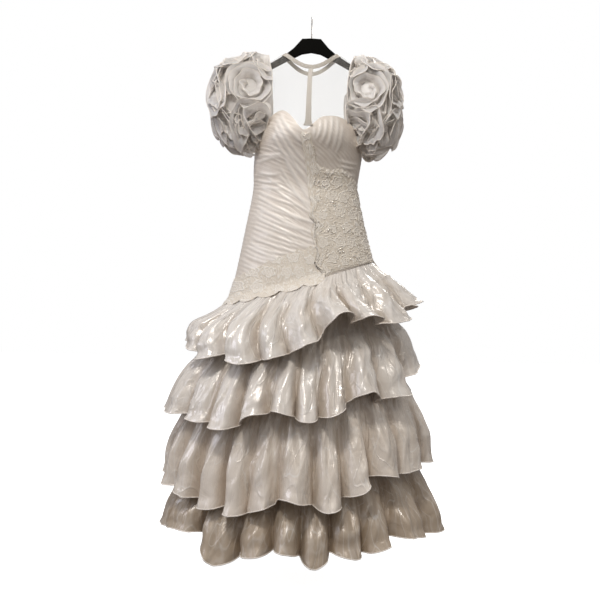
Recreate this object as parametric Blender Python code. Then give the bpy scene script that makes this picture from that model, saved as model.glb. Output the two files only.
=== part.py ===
"""A wedding dress on a hanger: ruched bodice with lace, puff sleeves of ruffle roses, and a
skirt of four flounces.

Frame: +Z up, the dress faces -Y, +X is to the right as one looks at its front. The origin is
the top inside of the hanger's hook, where the rail carries it. Sizes below are millimetres;
MM turns them into Blender's metres. A bearing is the angle round the body in degrees: 0 is
centre front, 90 the +X side seam, 180 centre back.
"""

import math

import bmesh
import bpy
import numpy as np

MM = 0.001
SEAM_GAP = 0.3
LAY_GAP = 0.9
SIDE_SEAM_GAP_DEG = 0.1

BODICE_THICK = 2.4
SATIN_THICK = 1.6
UNDERSKIRT_THICK = 1.2
ORGANZA_THICK = 1.2
LACE_THICK = 1.8

# Bodice rings: height, middle x, half width, depth to the front and to the back.
BODICE_RINGS = np.array([
    (-250, 0, 108, 88, 52),
    (-280, 0, 124, 101, 62),
    (-325, 0, 147, 119, 76),
    (-370, -1, 158, 126, 84),
    (-420, -3, 160, 112, 86),
    (-465, -7, 158, 99, 84),
    (-507, -9, 155, 92, 82),
    (-560, -9, 162, 98, 88),
    (-612, -8, 173, 106, 94),
    (-735, -3, 201, 122, 108),
    (-800, -1, 217, 130, 114),
    (-865, 0, 238, 140, 120),
    (-900, 0, 250, 146, 124),
], float)

# Underskirt rings: height, middle x, half width, depth to the front and to the back.
UNDERSKIRT_RINGS = np.array([
    (-700, -4, 191.5, 117.5, 103.5),
    (-735, -3, 199.5, 120.5, 106.5),
    (-800, -1, 215.5, 128.5, 112.5),
    (-865, 0, 236.0, 138.0, 118.0),
    (-950, 0, 256.0, 154.0, 128.0),
    (-1070, 0, 290.0, 194.0, 154.0),
    (-1180, 0, 316.0, 224.0, 180.0),
    (-1300, 0, 335.0, 245.0, 202.0),
], float)

# Sweetheart neckline and armhole edge of the front: bearing, height.
NECKLINE = np.array([
    (-90, -415), (-70, -362), (-55, -318), (-45, -302), (-37, -299), (-28, -308), (-18, -330),
    (-11, -352), (-7, -361), (-2, -357), (5, -338), (11, -324), (20, -317.5), (30, -315.5),
    (40, -319), (54, -336), (70, -368), (90, -415),
], float)
BACK_EDGE_DIP = 26
CUP_X, CUP_Z, CUP_RADIUS, CUP_BULGE = 72, -352, 48, 9

# The dropped waist is a slanting line: height at the middle, rise for each unit of x.
WAIST_Z, WAIST_RISE, WAIST_HALF = -792, 0.29, 218
RUCHE_SLANT = 75
RUCHE_COLUMN_DEG = 6
RUCHE_CLEAR = 0.045
RUCHE_PLEATS = 13
RUCHE_DEPTH = 1.7

# Lace that falls from the neckline over the +X front: bearing, first and last share of height.
LACE_FALL = np.array([
    (-4, 0.03, 0.05), (2, 0.05, 0.24), (5, 0.13, 0.34), (9, 0.22, 0.46), (12, 0.28, 0.60),
    (15, 0.29, 0.985), (22, 0.29, 0.985), (30, 0.28, 0.985), (38, 0.27, 0.985),
    (46, 0.26, 0.985), (54, 0.25, 0.985), (62, 0.24, 0.985), (70, 0.23, 0.985),
    (80, 0.22, 0.985), (89.9, 0.21, 0.985),
], float)
LACE_ROWS = 11
LACE_RELIEF = 0.7
LACE_LIFT = 1.55
BORDER_HEIGHT_SIDE, BORDER_HEIGHT_CENTRE = 58, 84
BORDER_SCALLOP = 13

# Flounces. rings: share of the height, middle x, half width, front and back depth, wave height.
# folds: bearing of each crest and its size. hem: bearing and height of the lower edge.
TIERS = {
    "flounce_1": {
        "seam_z": WAIST_Z - 1.4, "rise": WAIST_RISE, "seam_half": WAIST_HALF,
        "rings": [(0.3, -24, 264, 180, 158, 8), (0.5, -33, 300, 208, 182, 16),
                  (0.75, -26, 323, 236, 202, 23), (1.0, -11, 336, 252, 216, 28)],
        "folds": [(-82, 1.1), (-64, 0.6), (-49, 1.0), (-29, 1.1), (-12, 0.9), (1, 0.8),
                  (16, 1.3), (34, 1.1), (53, 0.8), (79, 1.1), (100, 0.9), (121, 1.1),
                  (141, 0.9), (160, 1.1), (179, 0.9), (-162, 1.1), (-143, 0.9), (-123, 1.1),
                  (-102, 0.9)],
        "hem": [(-79, -972), (-60, -995), (-50, -1018), (-43, -998), (-33, -1014),
                (-26, -1020), (-14, -1006), (-6, -988), (3, -974), (9, -930), (16, -898),
                (25, -889), (35, -901), (46, -906), (56, -893), (68, -862), (81, -844),
                (100, -862), (125, -912), (150, -958), (180, -985), (-150, -1005),
                (-125, -1000), (-100, -980)],
    },
    "flounce_2": {
        "seam_z": -895, "rise": 0.20, "seam_half": 242,
        "rings": [(0.3, -22, 291, 186, 162, 4), (0.45, -25, 320, 216, 186, 9),
                  (0.7, -32, 346, 254, 216, 20), (1.0, -35, 367, 284, 240, 28)],
        "folds": [(-84, 1.0), (-64, 0.9), (-46, 1.0), (-31, 1.0), (-18, 0.9), (-5, 0.9),
                  (8, 1.0), (20, 0.9), (33, 1.1), (51, 1.0), (76, 1.1), (97, 0.9),
                  (116, 1.0), (135, 1.1), (153, 0.9), (170, 1.1), (-172, 1.0), (-154, 1.1),
                  (-137, 0.9), (-119, 1.1), (-102, 0.9)],
        "hem": [(-88, -1170), (-54, -1176), (-44, -1184), (-33, -1194), (-22, -1190),
                (-15, -1159), (-7, -1138), (3, -1166), (12, -1160), (20, -1147), (25, -1112),
                (33, -1096), (40, -1116), (48, -1110), (57, -1097), (69, -1061), (78, -1032),
                (100, -1040), (130, -1090), (155, -1125), (180, -1145), (-155, -1160),
                (-125, -1172), (-104, -1170)],
    },
    "flounce_3": {
        "seam_z": -1072, "rise": 0.08, "seam_half": 290,
        "rings": [(0.2, -12, 328, 222, 190, 3), (0.4, -14, 350, 240, 208, 8),
                  (0.7, -16, 380, 278, 238, 19), (1.0, -16, 387, 304, 256, 27)],
        "folds": [(-84, 1.1), (-67, 0.9), (-53, 1.0), (-39, 1.1), (-26, 1.1), (-13, 0.8),
                  (0, 1.0), (12, 0.9), (24, 1.1), (38, 1.0), (55, 1.1), (80, 1.1),
                  (101, 0.9), (119, 1.1), (137, 0.9), (155, 1.1), (172, 0.9), (-170, 1.1),
                  (-153, 0.9), (-136, 1.1), (-119, 0.9), (-102, 1.0)],
        "hem": [(-84, -1354), (-65, -1377), (-50, -1388), (-42, -1416), (-34, -1406),
                (-26, -1422), (-17, -1412), (-10, -1385), (-2, -1366), (6, -1395),
                (18, -1386), (24, -1354), (31, -1312), (43, -1328), (55, -1312), (71, -1303),
                (84, -1314), (110, -1325), (140, -1350), (170, -1365), (-160, -1372),
                (-130, -1375), (-105, -1362)],
    },
    "flounce_4": {
        "seam_z": -1282, "rise": 0.03, "seam_half": 334,
        "rings": [(0.25, -2, 346, 254, 209, 1), (0.5, 0, 374, 260, 226, 7),
                  (0.75, -1, 394, 300, 248, 20), (1.0, -2, 400, 320, 264, 30)],
        "folds": [(-78, 1.0), (-55, 1.1), (-33, 1.2), (-18, 0.8), (-6, 0.7), (5, 1.2),
                  (18, 0.9), (30, 1.1), (46, 1.0), (74, 1.1), (97, 0.9), (117, 1.1),
                  (137, 0.9), (157, 1.1), (177, 0.9), (-164, 1.1), (-145, 0.9), (-125, 1.1),
                  (-102, 1.0)],
        "hem": [(-88, -1506), (-70, -1500), (-50, -1486), (-42, -1496), (-37, -1520),
                (-32, -1564), (-27, -1535), (-21, -1519), (-16, -1524), (-9, -1500),
                (-2, -1515), (5, -1546), (11, -1514), (17, -1513), (22, -1526), (28, -1506),
                (34, -1495), (39, -1478), (48, -1488), (66, -1496), (84, -1500),
                (105, -1505), (130, -1510), (155, -1514), (180, -1510), (-155, -1516),
                (-130, -1512), (-105, -1508)],
    },
}
UNDERSKIRT_END_Z = -1296
UNDERSKIRT_COLUMNS = 32
TIER_ROWS = (0.0, 0.25, 0.5, 0.76, 1.0)
FRONT_SAMPLES, BACK_SAMPLES = 5, 3
CREST_WIDTH = 0.07

# Sleeve sections of the +X sleeve: station, x and z of the long side, x and z of the short side, half depth.
SLEEVE_SECTIONS = np.array([
    (0.0, 128, -140, 163, -382, 66),
    (0.25, 182, -138, 168, -398, 88),
    (0.5, 234, -178, 166, -404, 94),
    (0.75, 252, -280, 164, -406, 88),
    (0.9, 246, -356, 163, -407, 72),
    (1.0, 226, -398, 163, -408, 54),
], float)
SLEEVE_COLUMNS, SLEEVE_ROWS = 24, 8
SLEEVE_OFF_BODICE = 2.6
YOKE_OFF_SLEEVE, YOKE_OFF_BODICE, YOKE_OFF_BAND = 1.0, 2.9, 2.6
YOKE_OVER_ARM = 4.5
YOKE_THICK = 1.0
YOKE_COLUMNS, YOKE_ROWS = 17, 8
SLEEVE_START_X = 128
SLEEVE_SPREAD = {1: 1.02, -1: 1.3}
SLEEVE_RAISE = {1: 0, -1: 14}
ARMHOLE_REACH = 32

# Roses on a sleeve: place round the tube, station, radius, height, turns, lift off the sleeve.
ROSES = {
    "front_top": (-74, 0.24, 64, 27, 2.6, 0.1),
    "front_low": (-84, 0.82, 46, 24, 2.1, 0.8),
    "outer": (-4, 0.58, 58, 25, 2.4, -0.2),
    "back": (80, 0.42, 72, 26, 2.7, 0.9),
}
ROSE_HEART = 12
ROSE_CHORD_LIFT = 0.0020
ROSE_LEAN = 0.30
ROSE_PETALS = 5
ROSE_PETAL_WAVE = 4
ROSE_SAMPLES = 11

# Hanger outline: x, upper edge, lower edge.
HANGER_OUTLINE = np.array([
    (0, -62, -104), (28, -63.5, -109), (52, -91, -121), (76, -111, -133), (100, -126, -146),
    (130, -144.5, -162), (170, -166.5, -182), (205, -186, -199), (212, -192, -198),
], float)
HANGER_DEPTH = 12
HANGER_BEVEL = 1.2
HOOK_WIRE = 3.4
HOOK_REACH = 18.5

BAND_HALF_WIDTH, BAND_HALF_DEPTH = 83, 40
BAND_TOP_Z, BAND_DROP = -112.6, 44.5
BAND_TAPE, BAND_THICK = 12, 1.8
BAND_STEPS = 44
BAND_ARCH = 2.6
ARM_SLOPE_DEG = 31
STRIP_TOP_WIDTH, STRIP_END_WIDTH = 11, 17
STRIP_LIFT = 1.0
BUTTON_RADIUS = 5.5


def smooth(x, known_x, known_y):
    """A smooth curve through the rows of a table. known_x may run either way."""
    known_x = np.asarray(known_x, float)
    known_y = np.asarray(known_y, float)
    if known_x[0] > known_x[-1]:
        known_x, known_y = known_x[::-1], known_y[::-1]
    x = np.clip(np.asarray(x, float), known_x[0], known_x[-1])
    slope = np.gradient(known_y, known_x)
    k = np.clip(np.searchsorted(known_x, x) - 1, 0, len(known_x) - 2)
    span = known_x[k + 1] - known_x[k]
    t = (x - known_x[k]) / span
    return ((2 * t**3 - 3 * t**2 + 1) * known_y[k] + (t**3 - 2 * t**2 + t) * span * slope[k]
            + (3 * t**2 - 2 * t**3) * known_y[k + 1] + (t**3 - t**2) * span * slope[k + 1])


def unit(vectors):
    return vectors / np.maximum(np.linalg.norm(vectors, axis=-1, keepdims=True), 1e-9)


def on_oval(bearing, half_width, front, back, centre_x=0.0):
    """x and y on an oval whose front and back halves have their own depths."""
    turn = np.radians(bearing)
    depth = np.where(np.cos(turn) > 0, front, back)
    return centre_x + half_width * np.sin(turn), -depth * np.cos(turn)


def ring_point(rings, bearing, z):
    centre, half_width, front, back = (smooth(z, rings[:, 0], rings[:, k]) for k in range(1, 5))
    x, y = on_oval(bearing, half_width, front, back, centre)
    return np.stack([x, y, z + 0 * x], -1)


def waist_z(bearing):
    return WAIST_Z + WAIST_RISE * WAIST_HALF * np.sin(np.radians(bearing))


def bodice_front(bearing, share):
    """The front panel: share runs from 0 at the neckline to 1 at the dropped waist."""
    top, end = smooth(bearing, NECKLINE[:, 0], NECKLINE[:, 1]), waist_z(bearing)
    slant = RUCHE_SLANT * np.sin(np.radians(bearing)) * 4 * share * (1 - share)
    points = ring_point(BODICE_RINGS, bearing, top + (end - top) * share - slant)
    for side in (-1, 1):
        far = ((points[..., 0] - side * CUP_X) ** 2 + (points[..., 2] - CUP_Z) ** 2)
        points[..., 1] -= CUP_BULGE * np.exp(-far / (2 * CUP_RADIUS**2))
    return points


def bodice_back(bearing, share):
    """The back panels: bearing runs from 90 to 270."""
    end = waist_z(bearing) + 0 * share
    top = NECKLINE[-1, 1] + BACK_EDGE_DIP * np.cos(np.radians(bearing)) + 0 * share
    return ring_point(BODICE_RINGS, bearing, top + (end - top) * share)


def share_at(surface, bearings, heights):
    """Where on each bearing of a surface its height is the one wanted."""
    tries = np.linspace(0, 1, 241)
    found = [surface(0 * tries + b, tries)[:, 2] for b in bearings]
    return np.array([np.interp(z, line[::-1], tries[::-1]) for z, line in zip(heights, found)])


def underskirt(bearing, share):
    top = waist_z(bearing) - SEAM_GAP - 0.9
    return ring_point(UNDERSKIRT_RINGS, bearing, top + (UNDERSKIRT_END_Z - top) * share)


def fold_at(tier, bearing):
    """(wave from -1 to 1, sideways shift in degrees) of the cloth at a bearing."""
    folds = sorted(tier["folds"])
    crests = np.array([f[0] for f in folds] + [folds[0][0] + 360], float)
    sizes = np.array([f[1] for f in folds] + [folds[0][1]])
    around = (np.asarray(bearing, float) - crests[0]) % 360 + crests[0]
    k = np.clip(np.searchsorted(crests, around, side="right") - 1, 0, len(folds) - 1)
    span = crests[k + 1] - crests[k]
    phase = (around - crests[k]) / span
    blend = phase * phase * (3 - 2 * phase)
    size = sizes[k] + (sizes[k + 1] - sizes[k]) * blend
    wave = np.cos(2 * np.pi * phase)
    return size * wave, CREST_WIDTH * span * np.sin(2 * np.pi * phase)


def hem_at(tier, bearing):
    rows = sorted(tier["hem"])
    rows = rows[-2:] + rows + rows[:2]
    turns = [-360] * 2 + [0] * (len(rows) - 4) + [360] * 2
    known = [row[0] + turn for row, turn in zip(rows, turns)]
    return smooth((bearing + 180) % 360 - 180, known, [row[1] for row in rows])


def tier_point(tier, bearing, share):
    """The middle of a flounce's cloth: share runs from 0 at its seam to 1 at its hem."""
    bearing, share = np.broadcast_arrays(np.asarray(bearing, float), np.asarray(share, float))
    wave, shift = fold_at(tier, bearing)
    seam_z = tier["seam_z"] + tier["rise"] * tier["seam_half"] * np.sin(np.radians(bearing))
    table = np.array(tier["rings"], float)
    known = np.concatenate([[0.0], table[:, 0]])
    fade = np.clip(1 - share / table[0, 0], 0, 1)
    wave = wave * smooth(share, known, np.concatenate([[0.0], table[:, 5]]))
    sizes = []
    for k in (1, 2, 3):
        start = smooth(seam_z, UNDERSKIRT_RINGS[:, 0], UNDERSKIRT_RINGS[:, k + 1])
        start = start + LAY_GAP + SATIN_THICK / 2
        first = table[0, k + 1]
        held = smooth(share, known, np.concatenate([[first], table[:, k + 1]]))
        sizes.append(held + (start - first) * fade + wave)
    seam_x = smooth(seam_z, UNDERSKIRT_RINGS[:, 0], UNDERSKIRT_RINGS[:, 1])
    centre = seam_x * fade + smooth(share, known, np.concatenate([[0.0], table[:, 1]]))
    turned = bearing + shift * smooth(share, [0, 0.3, 1], [0, 0.2, 1])
    x, y = on_oval(turned, *sizes, centre)
    return np.stack([x, y, seam_z + (hem_at(tier, bearing) - seam_z) * share], -1)


def sleeve_point(side, place, station):
    """The outside of the sleeve's base: place is the angle round the tube, 0 on its long side."""
    place, station = np.broadcast_arrays(np.asarray(place, float), np.asarray(station, float))
    long_x, long_z, short_x, short_z, half_depth = (
        smooth(station, SLEEVE_SECTIONS[:, 0], SLEEVE_SECTIONS[:, k]) for k in range(1, 6)
    )
    turn = np.radians(place)
    share = (1 - np.cos(turn)) / 2
    x = long_x + (short_x - long_x) * share
    y = half_depth * np.sin(turn)
    z = long_z + (short_z - long_z) * share
    half_width, front, back = (smooth(z, BODICE_RINGS[:, 0], BODICE_RINGS[:, k]) for k in (2, 3, 4))
    depth = np.where(y < 0, front + CUP_BULGE, back)
    bodice_x = half_width * np.sqrt(np.maximum(1 - (y / depth) ** 2, 0)) + SLEEVE_OFF_BODICE
    spread = 1 + (SLEEVE_SPREAD[side] - 1) * (1 - 0.6 * station**3)
    x = SLEEVE_START_X + (x - SLEEVE_START_X) * spread
    x = x - ARMHOLE_REACH * np.sin(turn) ** 2 * np.clip(1 - station / 0.35, 0, 1)
    z = z + SLEEVE_RAISE[side] * station * (1 - share)
    x = np.where(z < -290, np.maximum(x, bodice_x), x)
    return np.stack([side * x, y, z], -1)


def arm_hole_edge(side, place, inward):
    """The sleeve's first ring, moved towards the middle of the body."""
    points = sleeve_point(side, place, 0 * place)
    return points - np.array([side * inward, 0, 0])


def band_frame(bearing):
    """The neck band's line, the way across its tape and its outward side. It lies on the arms."""
    turn = np.radians(bearing)

    def line_at(turn):
        x, y = BAND_HALF_WIDTH * np.sin(turn), -BAND_HALF_DEPTH * np.cos(turn)
        return np.stack([x, y, BAND_TOP_Z - BAND_DROP * np.abs(np.cos(turn)) ** BAND_ARCH], -1)

    slope = math.radians(ARM_SLOPE_DEG)
    lying = np.stack([-np.sign(np.sin(turn)) * math.cos(slope), 0 * turn,
                      0 * turn + math.sin(slope)], -1)
    flat = (np.sin(turn) ** 4)[:, None]
    width = unit(lying * flat + np.array([0.0, 0, 1]) * (1 - flat))
    along = unit(line_at(turn + 0.01) - line_at(turn - 0.01))
    width = unit(width - along * (width * along).sum(-1, keepdims=True))
    return line_at(turn), width, np.cross(-width, along)


def along_line(points, at):
    """Points at shares of the length of a line."""
    steps = np.linalg.norm(np.diff(points, axis=0), axis=1)
    known = np.concatenate([[0], np.cumsum(steps)]) / steps.sum()
    return np.stack([np.interp(at, known, points[:, k]) for k in range(3)], -1)


def yoke_edges(front):
    """The four edge lines of the front or back yoke: top, lower edge, first and last side."""
    way = 1 if front else -1
    turns = np.linspace(-90, 90, 33)
    line, width, _ = band_frame(turns if front else turns + 180)
    top = line - width * (BAND_TAPE / 2 + YOKE_OFF_BAND)
    top[:, 2] += YOKE_OVER_ARM * np.abs(np.sin(np.radians(turns))) ** 8
    sides = []
    for side in (-way, way):
        place = np.linspace(4, 112 if front else 140, 24)
        ring = arm_hole_edge(side, -place if front else place, YOKE_OFF_SLEEVE)
        ring[:, 2] += YOKE_OVER_ARM * np.clip(1 - place / 24, 0, 1)
        bearing = side * (54 if front else 110)
        corner = neck_edge(np.array([bearing], float), front)[0]
        pull = np.linspace(0, 1, len(ring))[:, None] ** 3
        sides.append(ring + (corner - ring[-1]) * pull)
    top = np.concatenate([sides[0][:1], top, sides[1][:1]])
    span = np.linspace(-54, 54, 33) if front else np.linspace(110, 250, 33)
    return top, neck_edge(span, front), sides[0], sides[1]


def neck_edge(bearing, front):
    """Just above the bodice's upper edge, in the middle of its wall."""
    surface = bodice_front if front else bodice_back
    bearing = bearing % 360 if not front else bearing
    points, outward = grid(surface, bearing, [0.0])
    return points[0] - outward[0] * BODICE_THICK / 2 + np.array([0, 0, YOKE_OFF_BODICE])


def yoke_rows():
    return np.linspace(0, 1, YOKE_ROWS) ** 1.3


def yoke_point(front, u, v):
    """A sheet stretched between its four edge lines."""
    top, low, first, last = yoke_edges(front)
    shape = np.broadcast(u, v).shape
    u, v = (np.broadcast_to(a, shape)[..., None] for a in (u, v))
    top_at, low_at = along_line(top, u[..., 0]), along_line(low, u[..., 0])
    first_at, last_at = along_line(first, v[..., 0]), along_line(last, v[..., 0])
    corners = ((1 - u) * (1 - v) * top[0] + u * (1 - v) * top[-1]
               + (1 - u) * v * low[0] + u * v * low[-1])
    return (1 - v) * top_at + v * low_at + (1 - u) * first_at + u * last_at - corners


def normals(surface, u, v, du=0.5, dv=0.01):
    """Outward normals of a surface whose u runs to +X at the front and v runs down."""
    across = surface(u + du, v) - surface(u - du, v)
    down = surface(u, np.minimum(v + dv, 1)) - surface(u, np.maximum(v - dv, 0))
    return unit(np.cross(down, across))


def grid(surface, u, v):
    """(points, normals) of a surface at each row of v and column of u."""
    v = v if np.ndim(v) == 2 else np.asarray(v, float)[:, None] + 0 * np.asarray(u, float)
    u = np.asarray(u, float) + 0 * v
    return surface(u, v), normals(surface, u, v)


def zip_edges(first, second, length_of):
    """Triangles between two lines of point numbers that start and end side by side."""
    i, j, faces = 0, 0, []
    while i < len(first) - 1 or j < len(second) - 1:
        next_first = length_of(first, i + 1) if i < len(first) - 1 else math.inf
        next_second = length_of(second, j + 1) if j < len(second) - 1 else math.inf
        if next_first <= next_second:
            faces.append((first[i], first[i + 1], second[j]))
            i += 1
        else:
            faces.append((first[i], second[j + 1], second[j]))
            j += 1
    return faces


def wall_mesh(outer, inner, around=False):
    """Points and faces of a closed wall between two grids, which may differ in rows."""
    rows, columns = outer.shape[:2]
    inner_rows, inner_columns = inner.shape[:2]
    points = np.concatenate([outer.reshape(-1, 3), inner.reshape(-1, 3)])
    start = rows * columns

    def out_at(i, j):
        return i * columns + j % columns

    def in_at(i, j):
        return start + i * inner_columns + j % inner_columns

    faces = []
    for i in range(rows - 1):
        for j in range(columns if around else columns - 1):
            faces.append((out_at(i, j), out_at(i + 1, j), out_at(i + 1, j + 1), out_at(i, j + 1)))
    for i in range(inner_rows - 1):
        for j in range(inner_columns if around else inner_columns - 1):
            faces.append((in_at(i, j), in_at(i, j + 1), in_at(i + 1, j + 1), in_at(i + 1, j)))

    def share_along(line, k):
        return k / (len(line) - 1)

    last = columns if around else columns - 1
    inner_last = inner_columns if around else inner_columns - 1
    borders = [
        ([out_at(0, j) for j in range(last + 1)], [in_at(0, j) for j in range(inner_last + 1)]),
        ([out_at(rows - 1, j) for j in range(last + 1)],
         [in_at(inner_rows - 1, j) for j in range(inner_last + 1)]),
    ]
    if not around:
        borders += [
            ([out_at(i, 0) for i in range(rows)], [in_at(i, 0) for i in range(inner_rows)]),
            ([out_at(i, last) for i in range(rows)],
             [in_at(i, inner_last) for i in range(inner_rows)]),
        ]
    for first, second in borders:
        faces += zip_edges(first, second, share_along)
    return points, faces


def material(name, colour, roughness, metallic=0.0):
    made = bpy.data.materials.get(name) or bpy.data.materials.new(name)
    made.use_nodes = True
    shader = made.node_tree.nodes["Principled BSDF"]
    shader.inputs["Base Color"].default_value = (*colour, 1)
    shader.inputs["Roughness"].default_value = roughness
    shader.inputs["Metallic"].default_value = metallic
    return made


def satin():
    return material("ivory_satin", (0.74, 0.69, 0.63), 0.3)


def organza():
    return material("ivory_organza", (0.72, 0.67, 0.62), 0.4)


def lace():
    return material("corded_lace", (0.76, 0.70, 0.61), 0.6)


def net():
    return material("illusion_net", (0.80, 0.77, 0.72), 0.7)


def black_plastic():
    return material("black_plastic", (0.02, 0.02, 0.018), 0.45)


def steel_wire():
    return material("steel_wire", (0.5, 0.47, 0.44), 0.3, 1.0)


def pearl():
    return material("pearl", (0.85, 0.8, 0.72), 0.2)


def add_object(name, points, faces, finish, parent):
    """One closed piece: its faces are turned outward and its place is in its points."""
    mesh = bpy.data.meshes.new(name)
    mesh.from_pydata((np.asarray(points) * MM).tolist(), [], faces)
    work = bmesh.new()
    work.from_mesh(mesh)
    bmesh.ops.recalc_face_normals(work, faces=work.faces)
    if work.calc_volume(signed=True) < 0:
        bmesh.ops.reverse_faces(work, faces=work.faces)
    work.to_mesh(mesh)
    work.free()
    mesh.shade_smooth()
    mesh.set_sharp_from_angle(angle=math.radians(50))
    mesh.materials.append(finish)
    made = bpy.data.objects.new(name, mesh)
    bpy.context.scene.collection.objects.link(made)
    made.parent = parent
    return made


def wall(name, points, outward, thick, finish, parent, around=False, inset=0.0):
    """A wall of even thickness whose outer side is points moved out by inset + thick."""
    outer = points + outward * (inset + thick)
    inner = points + outward * inset
    return add_object(name, *wall_mesh(outer, inner, around), finish, parent)


def under_lace(bearings, shares):
    """Which points of the front panel have lace on them, or close beside them."""
    beside = [np.clip(bearings + step, LACE_FALL[0, 0], 90) for step in (-7, -3, 0, 3, 7)]
    first = np.min([np.interp(b, LACE_FALL[:, 0], LACE_FALL[:, 1]) for b in beside], 0)
    last = np.max([np.interp(b, LACE_FALL[:, 0], LACE_FALL[:, 2]) for b in beside], 0)
    on_side = bearings > LACE_FALL[0, 0] - 7
    return on_side & (shares > first - RUCHE_CLEAR) & (shares < last + RUCHE_CLEAR)


def make_bodice_front(parent):
    """The ruched front: slanting folds are raised in the outer side over a plain inside."""
    edge = 90 - SIDE_SEAM_GAP_DEG
    columns = np.clip(np.arange(-90, 91, RUCHE_COLUMN_DEG), -edge, edge)
    shares = np.linspace(0, 1, 2 * RUCHE_PLEATS + 1)
    points, outward = grid(bodice_front, columns, shares)
    border_z = waist_z(columns) + BORDER_HEIGHT_CENTRE + 2 * BORDER_SCALLOP
    flat = under_lace(columns, shares[:, None]) | (points[..., 2] < border_z)
    ridge = np.where(np.arange(len(shares)) % 2 == 1, RUCHE_DEPTH, 0.0)[:, None] * ~flat
    outer = points + outward * ridge[..., None]
    plain, plain_out = grid(bodice_front, columns[::2], np.linspace(0, 1, 10))
    inner = plain - plain_out * BODICE_THICK
    return add_object("bodice_front", *wall_mesh(outer, inner), satin(), parent)


def make_bodice_back(parent):
    """Two back panels that meet at the centre back, where the hidden zip closes them."""
    gap = SIDE_SEAM_GAP_DEG
    for name, first, last in (
        ("bodice_back_left", 90 + gap, 180 - gap),
        ("bodice_back_right", 180 + gap, 270 - gap),
    ):
        points, outward = grid(bodice_back, np.linspace(first, last, 10), np.linspace(0, 1, 11))
        wall(name, points, outward, BODICE_THICK, satin(), parent, inset=-BODICE_THICK)


def make_lace(parent):
    """Lace lies on the bodice: a fall on the +X front and a scalloped border on the waist."""
    columns, first, last = LACE_FALL.T
    shares = first + (last - first) * np.linspace(0, 1, LACE_ROWS)[:, None]
    points, outward = grid(bodice_front, columns, shares)
    row, column = np.indices(shares.shape)
    relief = LACE_RELIEF * ((row + column) % 2)
    outer = points + outward * (LACE_LIFT + LACE_THICK + relief)[..., None]
    inner = points + outward * LACE_LIFT
    add_object("lace_fall", *wall_mesh(outer, inner), lace(), parent)

    spans = {
        "lace_border_front": (bodice_front, -90 + SIDE_SEAM_GAP_DEG, 10.5, 18),
        "lace_border_back_left": (bodice_back, 90 + SIDE_SEAM_GAP_DEG, 180 - 0.2, 16),
        "lace_border_back_right": (bodice_back, 180 + 0.2, 270 - SIDE_SEAM_GAP_DEG, 16),
    }
    for name, (surface, first, last, count) in spans.items():
        columns = np.linspace(first, last, count)
        centre = np.cos(np.radians(columns)) ** 2 if surface is bodice_front else 0 * columns
        height = BORDER_HEIGHT_SIDE + (BORDER_HEIGHT_CENTRE - BORDER_HEIGHT_SIDE) * centre
        height = height + BORDER_SCALLOP * (np.arange(count) % 2)
        heights = waist_z(columns) + height * np.linspace(1, 0.02, 4)[:, None]
        shares = np.array([share_at(surface, columns, z) for z in heights])
        points, outward = grid(surface, columns, shares)
        wall(name, points, outward, LACE_THICK, lace(), parent, inset=LAY_GAP)


def make_underskirt(parent):
    """The plain skirt that the flounces are sewn to."""
    columns = np.arange(UNDERSKIRT_COLUMNS) * 360 / UNDERSKIRT_COLUMNS
    points, outward = grid(underskirt, columns, np.linspace(0, 1, 5))
    wall("underskirt", points, outward, UNDERSKIRT_THICK, satin(), parent, around=True,
         inset=-UNDERSKIRT_THICK)


def fold_columns(tier):
    """Bearings that sample each fold evenly, finer on the front."""
    crests = sorted(f[0] for f in tier["folds"])
    found = []
    for crest, following in zip(crests, crests[1:] + [crests[0] + 360]):
        samples = FRONT_SAMPLES if abs((crest + following) / 2) < 92 else BACK_SAMPLES
        found += [crest + (following - crest) * (k + 0.5) / samples for k in range(samples)]
    return np.array(found)


def make_tiers(parent):
    """Four flounces, each one gathered length of cloth sewn into a ring."""
    for name, tier in TIERS.items():
        def surface(bearing, share, tier=tier):
            return tier_point(tier, bearing, share)

        points, outward = grid(surface, fold_columns(tier), TIER_ROWS)
        wall(name, points, outward, SATIN_THICK, satin(), parent, around=True,
             inset=-SATIN_THICK / 2)


def make_sleeve(word, side, parent):
    """A hollow base, open at the armhole and the cuff, under roses of standing ruffle."""
    def surface(place, station):
        return sleeve_point(side, -side * place, station)

    columns = np.arange(SLEEVE_COLUMNS) * 360 / SLEEVE_COLUMNS
    points, outward = grid(surface, columns, np.linspace(0, 1, SLEEVE_ROWS))
    middle = points.reshape(-1, 3).mean(0)
    if ((points - middle) * outward).sum() < 0:
        outward = -outward
    wall(f"sleeve_{word}", points, outward, ORGANZA_THICK, organza(), parent, around=True,
         inset=-ORGANZA_THICK)
    for rose, sizes in ROSES.items():
        make_rose(f"sleeve_{word}_rose_{rose}", side, sizes, parent)


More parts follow.
